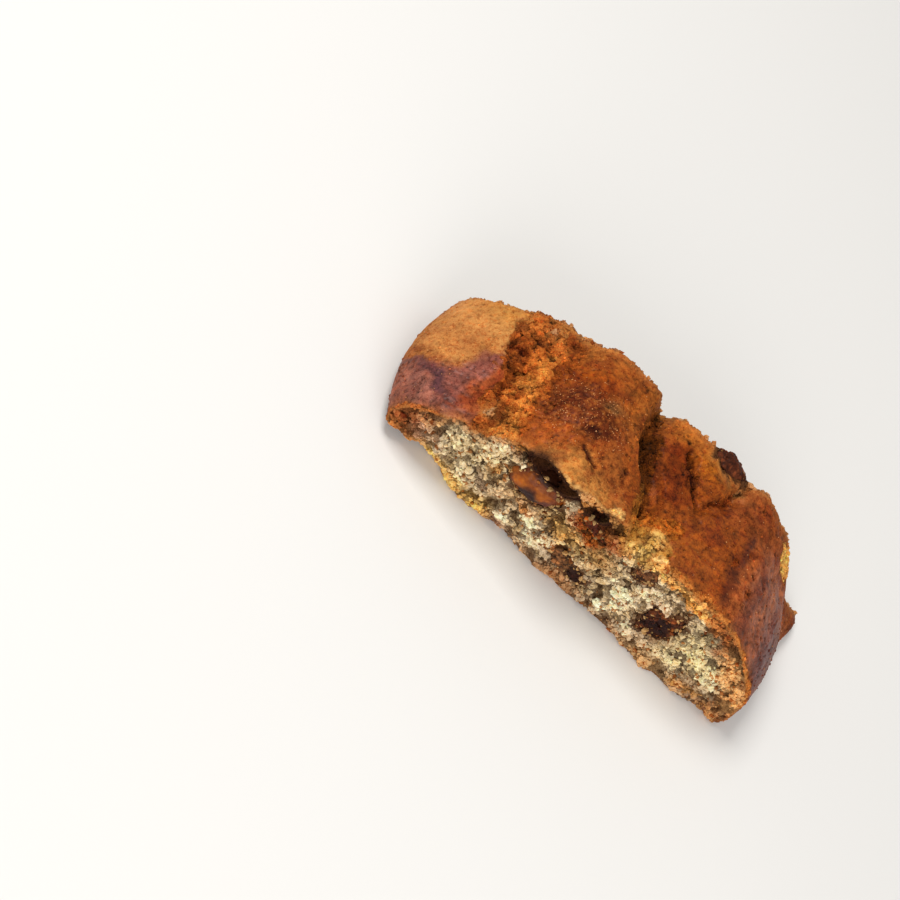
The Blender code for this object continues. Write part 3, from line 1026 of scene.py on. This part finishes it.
        # Painted shadow: the dough in the gap under the torn lip is darkened in colour.
        bake = toward(bake, self.hollow_painted_shade, hollow * 0.92)
        off_cut = (1.0 - on_cut) * (1.0 - on_base)
        rim = np.exp(-gap["pocket"] / 1.2) * (1.0 - in_pocket)
        return {
            "moved": moved,
            "bake": np.clip(bake, 0.0, 1.0),
            "glaze": crust["glaze"] * off_cut,
            "coarse": blend(crust["coarse"], np.ones(len(points)), np.maximum(on_cut, 0.4 * on_base)),
            "sugar": crust["sugar"] * off_cut,
            "torn": crust["torn"] * off_cut * (1.0 - 0.75 * np.exp(-gap["cut"] / 1.2)),
            "cut": on_cut * (1.0 - in_pocket) * (1.0 - hollow) * (cut["stand"] + 0.5 * rim),
            "crumb": np.clip(blend(crust["bake"], cut["crumb"], on_cut), 0.0, 1.0),
        }

    def crust(self, points: Array, gap: dict[str, Array]) -> dict[str, Array]:
        """Relief and paint of the crust, from above.

        Args:
            points: Places on the surface.
            gap: Distances from the kinds of face.

        Returns:
            Rise, colour, shine, coarseness, sugar and torn share of every point.
        """
        places = points[:, :2]
        wobble = Grain.waves((11, 12), points, 4.0, 4)
        fine_wave, mid_wave = Grain(13).wave(points, 1.5, 2), Grain(14).wave(points, 4.5, 2)
        skin, torn, crag, depth, glaze, sugar = self._marked(places, wobble)
        rim = np.exp(-gap["cut"] / 0.8)
        crag = np.maximum(crag, 0.42 * rim)
        end = smooth((np.abs(points[:, 0]) - 43.0) / 5.0) * (1.0 - smooth((points[:, 2] - 3.0) / 12.0))
        skin = toward(skin, self.end_tone, 0.55 * end)
        foot = 1.0 - smooth(gap["base"] / 3.0)
        skin = toward(skin, self.foot_brown, 0.6 * foot)
        is_torn = smooth((crag + 0.34 * fine_wave + 0.16 * mid_wave - 0.42) / 0.12)
        bent = np.column_stack((wobble, fine_wave))
        big, _, tone = Grain(15).lumps(points + 0.6 * bent, 1.9)
        small, _, small_tone = Grain(16).lumps(points + 0.2 * bent, 0.8)
        ridge = Grain(24).ridges(points, 2.4, 3)
        holes = Grain(28).patches(points, 1.5, 2, 0.16, 0.2)
        rough = 0.16 * (big - 0.6) + 0.16 * (small - 0.6) + 0.46 * ridge + 0.55 * mid_wave - 0.50 * holes
        soft = 0.10 * Grain(17).wave(points, 2.0, 3) + 0.20 * Grain(18).wave(points, 7.0, 2)
        pores = Grain(19).patches(points, 1.0, 2, 0.42, 0.2)
        crease = smooth((0.10 - np.abs(Grain(25).wave(points * (0.55, 1.0, 1.0), 5.0, 3))) / 0.08)
        sugary = sugar * 0.22 * small
        lift = soft + 0.16 - 0.16 * pores - 0.12 * crease + 0.07 * (small - 0.6) + sugary
        rise = blend(lift, rough - 0.12, is_torn) + depth
        # Partly painted light and shade: the torn dough is lighter on its ridges and darker in its holes,
        # over a random tone of each lump.
        level = (
            0.30 * (tone - 0.5) + 0.50 * (small_tone - 0.5) + 0.40 * mid_wave + 0.50 * ridge - 0.66 * holes
            + 0.02
        )
        torn = torn * (1.0 + level)[:, None]
        grainy = Grain(20).wave(points, 0.8, 2)
        patchy = Grain(21).wave(points, 5.0, 4)
        warm = Grain(26).patches(points, 3.6, 5, 0.08, 0.20)
        burnt = Grain(27).patches(points, 4.4, 5, 0.10, 0.20)
        calm = 1.0 - 0.7 * SKIN_MARKS["tan end"].share(places, wobble)
        # Partly painted light and shade: the skin is darker in its pores and creases and lighter on its
        # small raised pebbles, over random mottling.
        pebbles = 0.46 * (small_tone - 0.5) + 0.26 * (small - 0.6)
        mottle = 0.44 * grainy + 0.36 * patchy - 0.40 * pores - 0.22 * crease + pebbles
        skin = skin * (1.06 + mottle * (0.2 + 0.8 * calm))[:, None]
        skin = skin * blend(np.ones(3), np.array(self.warm_gain), 0.75 * warm * calm)
        skin = skin * blend(np.ones(3), np.array(self.burnt_gain), 0.80 * burnt * calm)
        # Partly painted glints: golden specks over the sugared crust stand for the sugar's sparkle as well
        # as its colour.
        speck = sugar * Grain(22).patches(points, 0.8, 1, 0.15, 0.35)
        skin = toward(skin, self.sugar_speck_and_glint, 0.45 * speck)
        burn = sugar * Grain(23).patches(points, 2.2, 3, 0.05, 0.4)
        skin = toward(skin, self.sugar_burn, 0.5 * burn)
        edge = is_torn * (1.0 - is_torn) * 4.0
        bake = blend(skin, torn, is_torn) * (1.0 - 0.30 * edge)[:, None]
        bake = toward(bake, self.rim_tan, 0.55 * rim)
        return {
            "rise": rise,
            "bake": bake,
            "glaze": np.clip((glaze + 0.16 + 0.25 * patchy) * (1.0 - is_torn), 0, 1),
            "coarse": blend(0.35 + 0.3 * sugar, np.ones(len(points)), is_torn),
            "sugar": sugar * (1.0 - is_torn),
            "torn": is_torn,
        }

    def _marked(self, places: Array, wobble: Array) -> tuple[Array, ...]:
        """Lays the marks of the crust over each other.

        Args:
            places: Two coordinates of each point, seen from above.
            wobble: Uneven offsets of the same shape.

        Returns:
            Colours of skin and torn dough, then how torn, deep, shiny and sugared each point is.
        """
        nothing = np.zeros(len(places))
        skin = toward(np.ones((len(places), 3)), self.crust_tone, nothing + 1.0)
        torn = toward(skin, self.torn_tone, nothing + 1.0)
        crag, depth, glaze, sugar = nothing, nothing, nothing, nothing
        for mark in [*SKIN_MARKS.values(), *TORN_MARKS.values()]:
            share = mark.share(places, wobble)
            crag = np.maximum(crag, share * mark.crag)
            depth = depth + share * mark.depth
            glaze = blend(glaze, nothing + mark.glaze, share)
            sugar = np.maximum(sugar, share * mark.sugar)
            torn = toward(torn, mark.colour, share)
            if mark.layer is BOTH:
                skin = toward(skin, mark.colour, share)
        return skin, torn, crag, depth, glaze, sugar

    def cut(self, points: Array, normals: Array, gap: dict[str, Array]) -> dict[str, Array]:
        """Relief and paint of the crumb on both cuts, each seen square on.

        Args:
            points: Places on the surface.
            normals: Outward directions there.
            gap: Distances from the kinds of face.

        Returns:
            Rise, colour between the crumbs, colour of the crumbs and how thickly they stand.
        """
        places = points[:, [0, 2]]
        wobble = Grain.waves((31, 32), points, 4.0, 4)
        bent = points + 0.5 * Grain.waves((33, 34, 35), points, 1.8, 2)
        big, joint, tone = Grain(36).lumps(bent, 1.7)
        small, small_joint, small_tone = Grain(37).lumps(points, 0.8)
        clump = Grain(38).wave(points, 3.6, 3)
        hole = Grain(39).patches(points, 2.2, 3, 0.12, 0.22)
        deep = Grain(40).patches(points, 4.4, 3, 0.24, 0.15)
        ridge = Grain(42).ridges(points, 1.9, 3)
        near_base = 1.0 - smooth((gap["base"] - 1.4 - 1.6 * wobble[:, 0]) / 3.0)
        hole, deep = hole * (1.0 - 0.6 * near_base), deep * (1.0 - 0.8 * near_base)
        rise = (
            0.40 * (big - 0.62) + 0.20 * (small - 0.6) + 0.24 * ridge + 0.65 * clump - 0.15 * joint
            - 0.65 * hole - 0.95 * deep
        )
        # Partly painted light and shade: the crumb is paler on its raised clumps and ridges and darker in
        # its holes, over a random tone of each lump.
        bright = 0.55 + 0.20 * (tone - 0.5) + 0.15 * (small_tone - 0.5) + 0.25 * ridge + 0.70 * clump
        bright = np.clip(bright - 0.3 * hole, 0, 1)
        crumb = toward(np.ones((len(points), 3)), self.crumb_cream, np.ones(len(points)))
        crumb = toward(crumb, self.crumb_pale, smooth(bright * 1.5 - 0.35))
        gain = (0.62 + 0.60 * bright)[:, None]
        crumb = crumb * gain
        brown = Grain(41).patches(points, 1.6, 3, 0.18, 0.25)
        crumb = toward(crumb, self.crumb_shade, 0.55 * brown)
        band = curve(self.top_band, points[:, 0]) * np.clip(1.0 + 0.8 * wobble[:, 0], 0.3, 2.0)
        in_band = 1.0 - smooth((gap["crust"] - 0.45 * band) / (0.9 * band))
        # Partly painted shade: the crust band and the base are darker where the crumb sinks into joints and
        # holes, over a random tone of each lump.
        dark = smooth(0.45 - 0.9 * clump + 0.5 * joint - 0.7 * (tone - 0.5) + 0.5 * hole)
        tan = blend(linear(self.band_orange), linear(self.band_dark), dark)
        crumb = blend(crumb, tan, 0.8 * in_band)
        skin_line = 1.0 - smooth((gap["crust"] - 0.35) / 0.7)
        crumb = toward(crumb, self.band_dark, 0.35 * skin_line)
        dark = smooth(0.42 - 1.2 * clump + 0.5 * joint - 0.7 * (tone - 0.5) + 0.4 * hole)
        crumb = blend(crumb, blend(linear(self.base_brown), linear(self.base_dark), dark), 0.7 * near_base)
        front = normals[:, 1] < 0
        depth = np.zeros(len(points))
        for marks, side in ((FRONT_CUT_MARKS, front), (BACK_CUT_MARKS, ~front)):
            for mark in marks.values():
                share = mark.share(places, wobble) * side
                crumb = blend(crumb, linear(mark.colour) * gain, share[:, None])
                depth += share * mark.depth
        # Painted shade: the dough under the loose crumbs is darkened, most in the joints, holes and deep
        # pits of the crumb.
        low = np.clip(0.50 * joint + 0.35 * small_joint + 0.7 * hole + 0.6 * deep, 0, 1)
        bake = toward(crumb * 0.68, self.crevice_painted_shade, 0.20 + 0.56 * low)
        stand = np.clip(0.12 + 1.1 * smooth(0.5 + 1.9 * clump) - 0.6 * hole - 0.8 * deep, 0.02, 1.0)
        return {"rise": rise + depth, "bake": bake, "crumb": crumb, "stand": stand}

    def bottom(self, points: Array) -> dict[str, Array]:
        """Relief and paint of the flat base."""
        mottle = Grain(51).wave(points, 6.0, 4)
        spots = Grain(52).patches(points, 2.6, 2, 0.2, 0.3)
        bake = blend(linear(self.bottom_tan), linear(self.bottom_dark), smooth(0.5 + mottle))
        return {"rise": -0.25 * spots, "bake": bake * (1.0 - 0.3 * spots)[:, None]}


class Kind(Enum):
    """What a piece in the dough is."""

    FIG = "fig"
    NUT = "nut"


@dataclass
class Inclusion:
    """One piece of fig or nut, dressed in its pocket."""

    node: str
    kind: Kind
    tone: Colour
    light: Colour
    patches: tuple[tuple[tuple[float, float, float], float, Colour], ...] = ()
    cell: float = 0.24
    swell: float = 0.34
    sunk: float = 0.25
    nut_side: Colour = (84, 36, 18)
    # Painted shadow colour where a piece lies in the gap under the torn lip.
    hollow_painted_shade: Colour = (40, 14, 6)

    def build(self, seed: int, finish: bpy.types.Material) -> tuple[Surface, Array]:
        """Makes the dressed piece.

        Args:
            seed: Number that makes its wrinkles its own.
            finish: Material of its kind.

        Returns:
            Its surface and the colour of every point.
        """
        solid = Surface.of(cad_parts[self.node])
        fine = solid.even(self.cell)
        points, normals = fine.points, fine.normals()
        broad = Grain(seed).wave(points, 3.2, 3)
        folds = np.clip(1.0 - np.abs(Grain(seed + 1).wave(points, 2.2, 3)) * 2.6, 0, 1)
        lump, joint, tone = Grain(seed + 2).lumps(points + 0.3 * broad[:, None], 1.2)
        cut_face = smooth((np.abs(normals[:, 1]) - 0.6) / 0.3)
        rise = blend(self.swell, -self.sunk, cut_face)
        if self.kind is Kind.FIG:
            rise += 0.30 * broad + 0.35 * (folds - 0.5) * 0.8 + 0.38 * (lump - 0.6) * (0.4 + 0.6 * cut_face)
            bright = np.clip(0.30 + 0.9 * broad + 0.7 * (tone - 0.5) + 0.5 * (lump - 0.6), 0, 1)
        else:
            rise += 0.16 * broad - 0.12 * folds
            bright = np.clip(0.5 + 0.9 * broad - 0.3 * folds, 0, 1)
        bake = blend(linear(self.tone), linear(self.light), bright)
        if self.kind is Kind.FIG:
            bake = bake * (1.0 - 0.55 * joint)[:, None]
        else:
            bake = toward(bake, self.nut_side, 0.7 * (1.0 - cut_face))
        for centre, half, stain in self.patches:
            away = np.linalg.norm(points - np.array(centre), axis=1) + 1.2 * broad
            bake = toward(bake, stain, 1.0 - smooth((away - half + 0.9) / 1.8))
        # Painted shadow on the part of a piece that lies in the gap under the torn lip.
        bake = toward(bake, self.hollow_painted_shade, 0.85 * in_hollows(points))
        fine.points = points + normals * rise[:, None]
        bake = np.clip(bake, 0, 1)
        piece = fine.object(f"{self.node}_dressed", {"bake": bake}, finish)
        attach(piece, "root")
        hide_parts(self.node)
        return fine, bake


INCLUSIONS: tuple[Inclusion, ...] = (
    Inclusion(
        "nut_front", Kind.NUT, (138, 66, 4), (200, 116, 20),
        patches=(
            ((-18.4, -17.4, 14.6), 3.2, (48, 14, 8)), ((-14.4, -17.4, 15.6), 2.2, (104, 52, 38)),
            ((-23.6, -17.4, 14.4), 1.7, (110, 58, 34)),
        ),
        sunk=-0.1,
    ),
    Inclusion(
        "fig_front_low", Kind.FIG, (40, 18, 8), (166, 112, 66),
        patches=(((2.4, -16.4, 5.8), 2.0, (52, 22, 10)),),
    ),
    Inclusion("fig_front_small", Kind.FIG, (84, 48, 24), (160, 106, 62)),
    Inclusion(
        "fig_front_large", Kind.FIG, (44, 14, 4), (138, 72, 30),
        patches=(((20.5, -16.4, 10.6), 2.4, (46, 14, 6)),),
    ),
    Inclusion("fig_notch", Kind.FIG, (100, 38, 6), (190, 106, 32), sunk=0.1),
    Inclusion("fig_top", Kind.FIG, (88, 38, 14), (150, 78, 40), sunk=0.0),
    Inclusion("nut_back", Kind.NUT, (150, 82, 24), (200, 128, 54), sunk=0.0),
    Inclusion("fig_back_left", Kind.FIG, (40, 16, 8), (124, 74, 40)),
    Inclusion("fig_back_middle", Kind.FIG, (54, 28, 14), (130, 84, 46)),
)


@dataclass
class Scatter:
    """Many small loose bits of one kind, lying on the slice, as one mesh."""

    name: str
    count: int
    size: tuple[float, float]
    seed: int
    slot: str = "dough"
    sink: float = 0.25
    flat: float = 0.7
    rounds: int = 1
    gain: tuple[float, float] = (0.9, 1.2)
    browned: float = 0.0
    brown: Colour = (196, 150, 110)
    uneven: float = 0.55
    crisp: bool = True
    apart: float = 400.0
    bulge_length: float = 0.62
    favour_small: float = 2.2

    def build(
        self, surface: Surface, chance: Array, colours: Array, finish: bpy.types.Material
    ) -> None:
        """Scatters the bits.

        Args:
            surface: What they lie on.
            chance: How likely each point of it carries a bit.
            colours: Colour of a bit at each point.
            finish: Material of the bits.
        """
        draw = np.random.default_rng(self.seed)
        _, areas = surface.slopes()
        weight = areas * chance[surface.faces].mean(axis=1)
        chosen = surface.faces[draw.choice(len(weight), self.count, p=weight / weight.sum())]
        share = draw.dirichlet((1.0, 1.0, 1.0), self.count)
        middle = np.einsum("nk,nkd->nd", share, surface.points[chosen])
        normals = surface.normals()[chosen[:, 0]]
        low, high = self.size
        sizes = low + (high - low) * draw.uniform(0.0, 1.0, self.count) ** self.favour_small
        shape, faces = self._bit()
        local = np.repeat(shape[None], self.count, axis=0)
        apart = local + draw.uniform(-self.apart, self.apart, (self.count, 1, 3))
        bulge = Grain(self.seed).wave(apart.reshape(-1, 3), self.bulge_length, 2)
        bulge = bulge.reshape(self.count, -1)
        local *= 1.0 + self.uneven * bulge[..., None]
        narrow, wide = (0.8, 0.5, 0.8 * self.flat), (1.3, 1.0, 1.2 * self.flat)
        local *= draw.uniform(narrow, wide, (self.count, 3))[:, None]
        local = np.einsum("npk,njk->npj", local, self._turns(draw, normals)) * sizes[:, None, None]
        local += (middle + normals * (sizes * self.sink)[:, None])[:, None]
        starts = np.arange(self.count) * len(shape)
        whole = Surface(local.reshape(-1, 3), (faces[None] + starts[:, None, None]).reshape(-1, 3))
        whole.points = np.clip(whole.points, LOWEST - MARGIN * (1, 1, 0), HIGHEST + MARGIN)
        tone = colours[chosen[:, 0]] * draw.uniform(*self.gain, (self.count, 1))
        is_brown = draw.uniform(0.0, 1.0, (self.count, 1)) < self.browned
        tone = np.where(is_brown, tone * linear(self.brown), tone)
        tone = np.repeat(tone, len(shape), axis=0) * (1.0 + 0.25 * bulge.reshape(-1, 1))
        even = np.ones(len(whole.points))
        paint = {"bake": np.clip(tone, 0, 1), "glaze": 0.1 * even, "coarse": 0.8 * even}
        piece = whole.object(self.name, paint, finish)
        if self.crisp:
            piece.data.shade_flat()
        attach(piece, "root")

    def _bit(self) -> tuple[Array, Array]:
        """Points and triangles of one plain bit, about 1 across."""
        ball = bmesh.new()
        if self.rounds:
            bmesh.ops.create_icosphere(ball, subdivisions=self.rounds, radius=0.5)
        else:
            bmesh.ops.create_cube(ball, size=0.8)
            bmesh.ops.triangulate(ball, faces=ball.faces)
        points = np.array([vertex.co for vertex in ball.verts])
        faces = np.array([[vertex.index for vertex in face.verts] for face in ball.faces])
        ball.free()
        return points, faces

    @staticmethod
    def _turns(draw: np.random.Generator, normals: Array) -> Array:
        """Random turn of each bit that keeps its flat side near the surface."""
        side = np.cross(normals, draw.normal(size=normals.shape))
        side /= np.linalg.norm(side, axis=1)[:, None]
        tipped = normals + 0.45 * draw.normal(size=normals.shape)
        tipped -= side * np.sum(tipped * side, axis=1)[:, None]
        tipped /= np.linalg.norm(tipped, axis=1)[:, None]
        return np.stack([side, np.cross(tipped, side), tipped], axis=2)


SEED_TAN = (176, 124, 66)
BORDER_TAN = (206, 164, 108)

HEAPS: tuple[Scatter, ...] = (
    Scatter("fine_crumbs", 16200, (0.30, 1.05), 5, sink=0.08, rounds=0, gain=(0.80, 1.16), browned=0.09),
    Scatter(
        "coarse_crumbs", 1300, (0.7, 2.0), 8, sink=-0.12, flat=0.6, rounds=2, gain=(0.88, 1.10),
        browned=0.04, uneven=0.75,
    ),
    Scatter(
        "crust_crags", 1000, (0.5, 1.8), 6, sink=-0.18, flat=0.5, rounds=2, gain=(0.8, 1.25), uneven=0.8,
    ),
    Scatter("crust_grit", 8000, (0.18, 0.62), 9, sink=0.0, flat=0.6, rounds=0, gain=(0.72, 1.45)),
    Scatter("sugar_grains", 1100, (0.10, 0.24), 7, sink=0.3, flat=0.9, rounds=0),
    Scatter(
        "fig_seeds", 90, (0.4, 0.6), 10, "fig", sink=0.1, flat=0.6, gain=(0.6, 1.0), uneven=0.2,
        crisp=False,
    ),
    Scatter("fig_flesh", 700, (0.4, 1.3), 11, "fig", sink=-0.05, flat=0.6, gain=(0.5, 2.4), crisp=False),
    Scatter("border_crumbs", 380, (0.4, 1.5), 12, sink=0.05, flat=0.7, gain=(0.6, 1.1), browned=0.2),
)


@dataclass
class Studio:
    """Pale table, soft light and the camera at the photograph's viewing angle."""

    azimuth: float = -22.0
    elevation: float = 48.0
    roll: float = -58.5
    distance: float = 810.0
    pixels_per_mm: float = 4.9489
    anchor_pixel: tuple[float, float] = (575.6, 519.9)
    anchor: tuple[float, float, float] = (-1.3365, -0.4167, 0.0)
    image: float = 900.0
    sensor: float = 36.0
    key_direction: tuple[float, float, float] = (-0.50, 0.10, 0.86)
    key_power: float = 2.2
    key_width: float = 240.0
    fill_direction: tuple[float, float, float] = (0.20, -0.90, 0.36)
    fill_power: float = 2.4
    fill_width: float = 500.0
    light_distance: float = 620.0
    lamp_colour: Colour = (1.0, 0.98, 0.95)
    sky: float = 0.42
    sky_colour: Colour = (1.0, 0.99, 0.97)

    def build(self) -> None:
        """Makes table, lights, sky and camera."""
        self._table()
        self._light("key_light", self.key_direction, self.key_power, self.key_width)
        self._light("fill_light", self.fill_direction, self.fill_power, self.fill_width)
        world = bpy.data.worlds.new("soft_room")
        world.use_nodes = True
        background = world.node_tree.nodes["Background"].inputs
        background["Color"].default_value = (*self.sky_colour, 1.0)
        background["Strength"].default_value = self.sky
        bpy.context.scene.world = world
        bpy.context.scene.view_settings.view_transform = "Standard"
        self._camera()

    def _table(self) -> None:
        """Wide pale table top under the slice."""
        top = bmesh.new()
        bmesh.ops.create_grid(top, x_segments=8, y_segments=8, size=6.0)
        mesh = bpy.data.meshes.new("table_top")
        top.to_mesh(mesh)
        top.free()
        table = linked("table_top", mesh)
        mesh.materials.append(TableFinish().make())

    def _light(self, name: str, direction: Sequence[float], power: float, width: float) -> None:
        """Adds one soft square lamp that looks at the slice."""
        lamp = bpy.data.lights.new(name, "AREA")
        lamp.size = width * MM
        lamp.energy = power
        lamp.color = self.lamp_colour
        holder = linked(name, lamp)
        outward = Vector(direction).normalized()
        holder.location = outward * self.light_distance * MM
        holder.rotation_mode = "QUATERNION"
        holder.rotation_quaternion = (-outward).to_track_quat("-Z", "Y")

    def _camera(self) -> None:
        """Camera rolled as the photograph's was."""
        azimuth, elevation, roll = map(math.radians, (self.azimuth, self.elevation, self.roll))
        right = Vector((math.cos(azimuth), math.sin(azimuth), 0.0))
        level = math.cos(elevation)
        back = Vector((math.sin(azimuth) * level, -math.cos(azimuth) * level, math.sin(elevation)))
        up = back.cross(right)
        side = right * math.cos(roll) - up * math.sin(roll)
        over = right * math.sin(roll) + up * math.cos(roll)
        shift_x = (self.anchor_pixel[0] - self.image / 2) / self.pixels_per_mm
        shift_y = -(self.anchor_pixel[1] - self.image / 2) / self.pixels_per_mm
        place = Vector(self.anchor) + back * self.distance - side * shift_x - over * shift_y
        lens = bpy.data.cameras.new("camera")
        lens.sensor_width = self.sensor
        lens.lens = self.pixels_per_mm * self.distance / self.image * self.sensor
        lens.clip_start, lens.clip_end = 0.01, 20.0
        camera = linked("camera", lens)
        turn = Matrix((side, over, back)).transposed().to_4x4()
        camera.matrix_world = Matrix.Translation(place * MM) @ turn
        bpy.context.scene.camera = camera


def dressed(pieces: Iterable[Inclusion]) -> tuple[Surface, Array, Array, bpy.types.Material]:
    """Builds every piece of fruit and nut.

    Args:
        pieces: What to build.

    Returns:
        The surface of all the pieces as one, its colours, which points are fig, and fig's finish.
    """
    finishes = {
        Kind.FIG: FruitFinish("dried_fig_flesh", 0.66, 0.14, 0.05, 0.5, 0.24).make(),
        Kind.NUT: FruitFinish("roasted_nut_skin", 0.52, 0.15, 0.10, 0.8, 0.14).make(),
    }
    surfaces, paints, figs = [], [], []
    for number, inclusion in enumerate(pieces):
        surface, paint = inclusion.build(100 + 10 * number, finishes[inclusion.kind])
        surfaces.append(surface)
        paints.append(paint)
        figs.append(np.full(len(paint), float(inclusion.kind is Kind.FIG)))
    starts = np.cumsum([0] + [len(surface.points) for surface in surfaces[:-1]])
    faces = [surface.faces + start for surface, start in zip(surfaces, starts)]
    whole = Surface(np.concatenate([surface.points for surface in surfaces]), np.concatenate(faces))
    return whole, np.concatenate(paints), np.concatenate(figs), finishes[Kind.FIG]


def main() -> None:
    """Builds the slice, its pieces, the loose bits and the studio."""
    logging.basicConfig(level=logging.INFO, format="%(relativeCreated)d %(name)s: %(message)s")
    baked = Slice()
    dough = BakedFinish().make()
    surface, paint = baked.build(dough)
    fruit, fruit_paint, is_fig, flesh = dressed(INCLUSIONS)
    plain = np.ones((len(fruit.points), 3))
    near_cut = smooth((np.abs(fruit.points[:, 1]) - 13.0) / 1.5)
    facing = near_cut * smooth(np.abs(fruit.normals()[:, 1]) * 2 - 0.5)
    border = 1.0 - smooth((distances(baked.solid.tree(baked.labels["cut"]), fruit.points) - 0.5) / 0.6)
    on_cuts = (surface, paint["cut"], paint["crumb"], dough)
    on_torn = (surface, paint["torn"] ** 2, paint["bake"], dough)
    on_crust = (surface, paint["torn"] ** 2 + 0.05, paint["bake"], dough)
    sugared = (surface, paint["sugar"] ** 0.5 + 0.05, paint["bake"], SugarFinish().make())
    seeded = (fruit, facing * is_fig, plain * linear(SEED_TAN), dough)
    fleshy = (fruit, facing * is_fig, fruit_paint, flesh)
    on_border = (fruit, facing * border, plain * linear(BORDER_TAN), dough)
    grounds = (on_cuts, on_cuts, on_torn, on_crust, sugared, seeded, fleshy, on_border)
    for heap, ground in zip(HEAPS, grounds):
        heap.build(*ground)
    Studio().build()


if __name__ == "__main__":
    main()
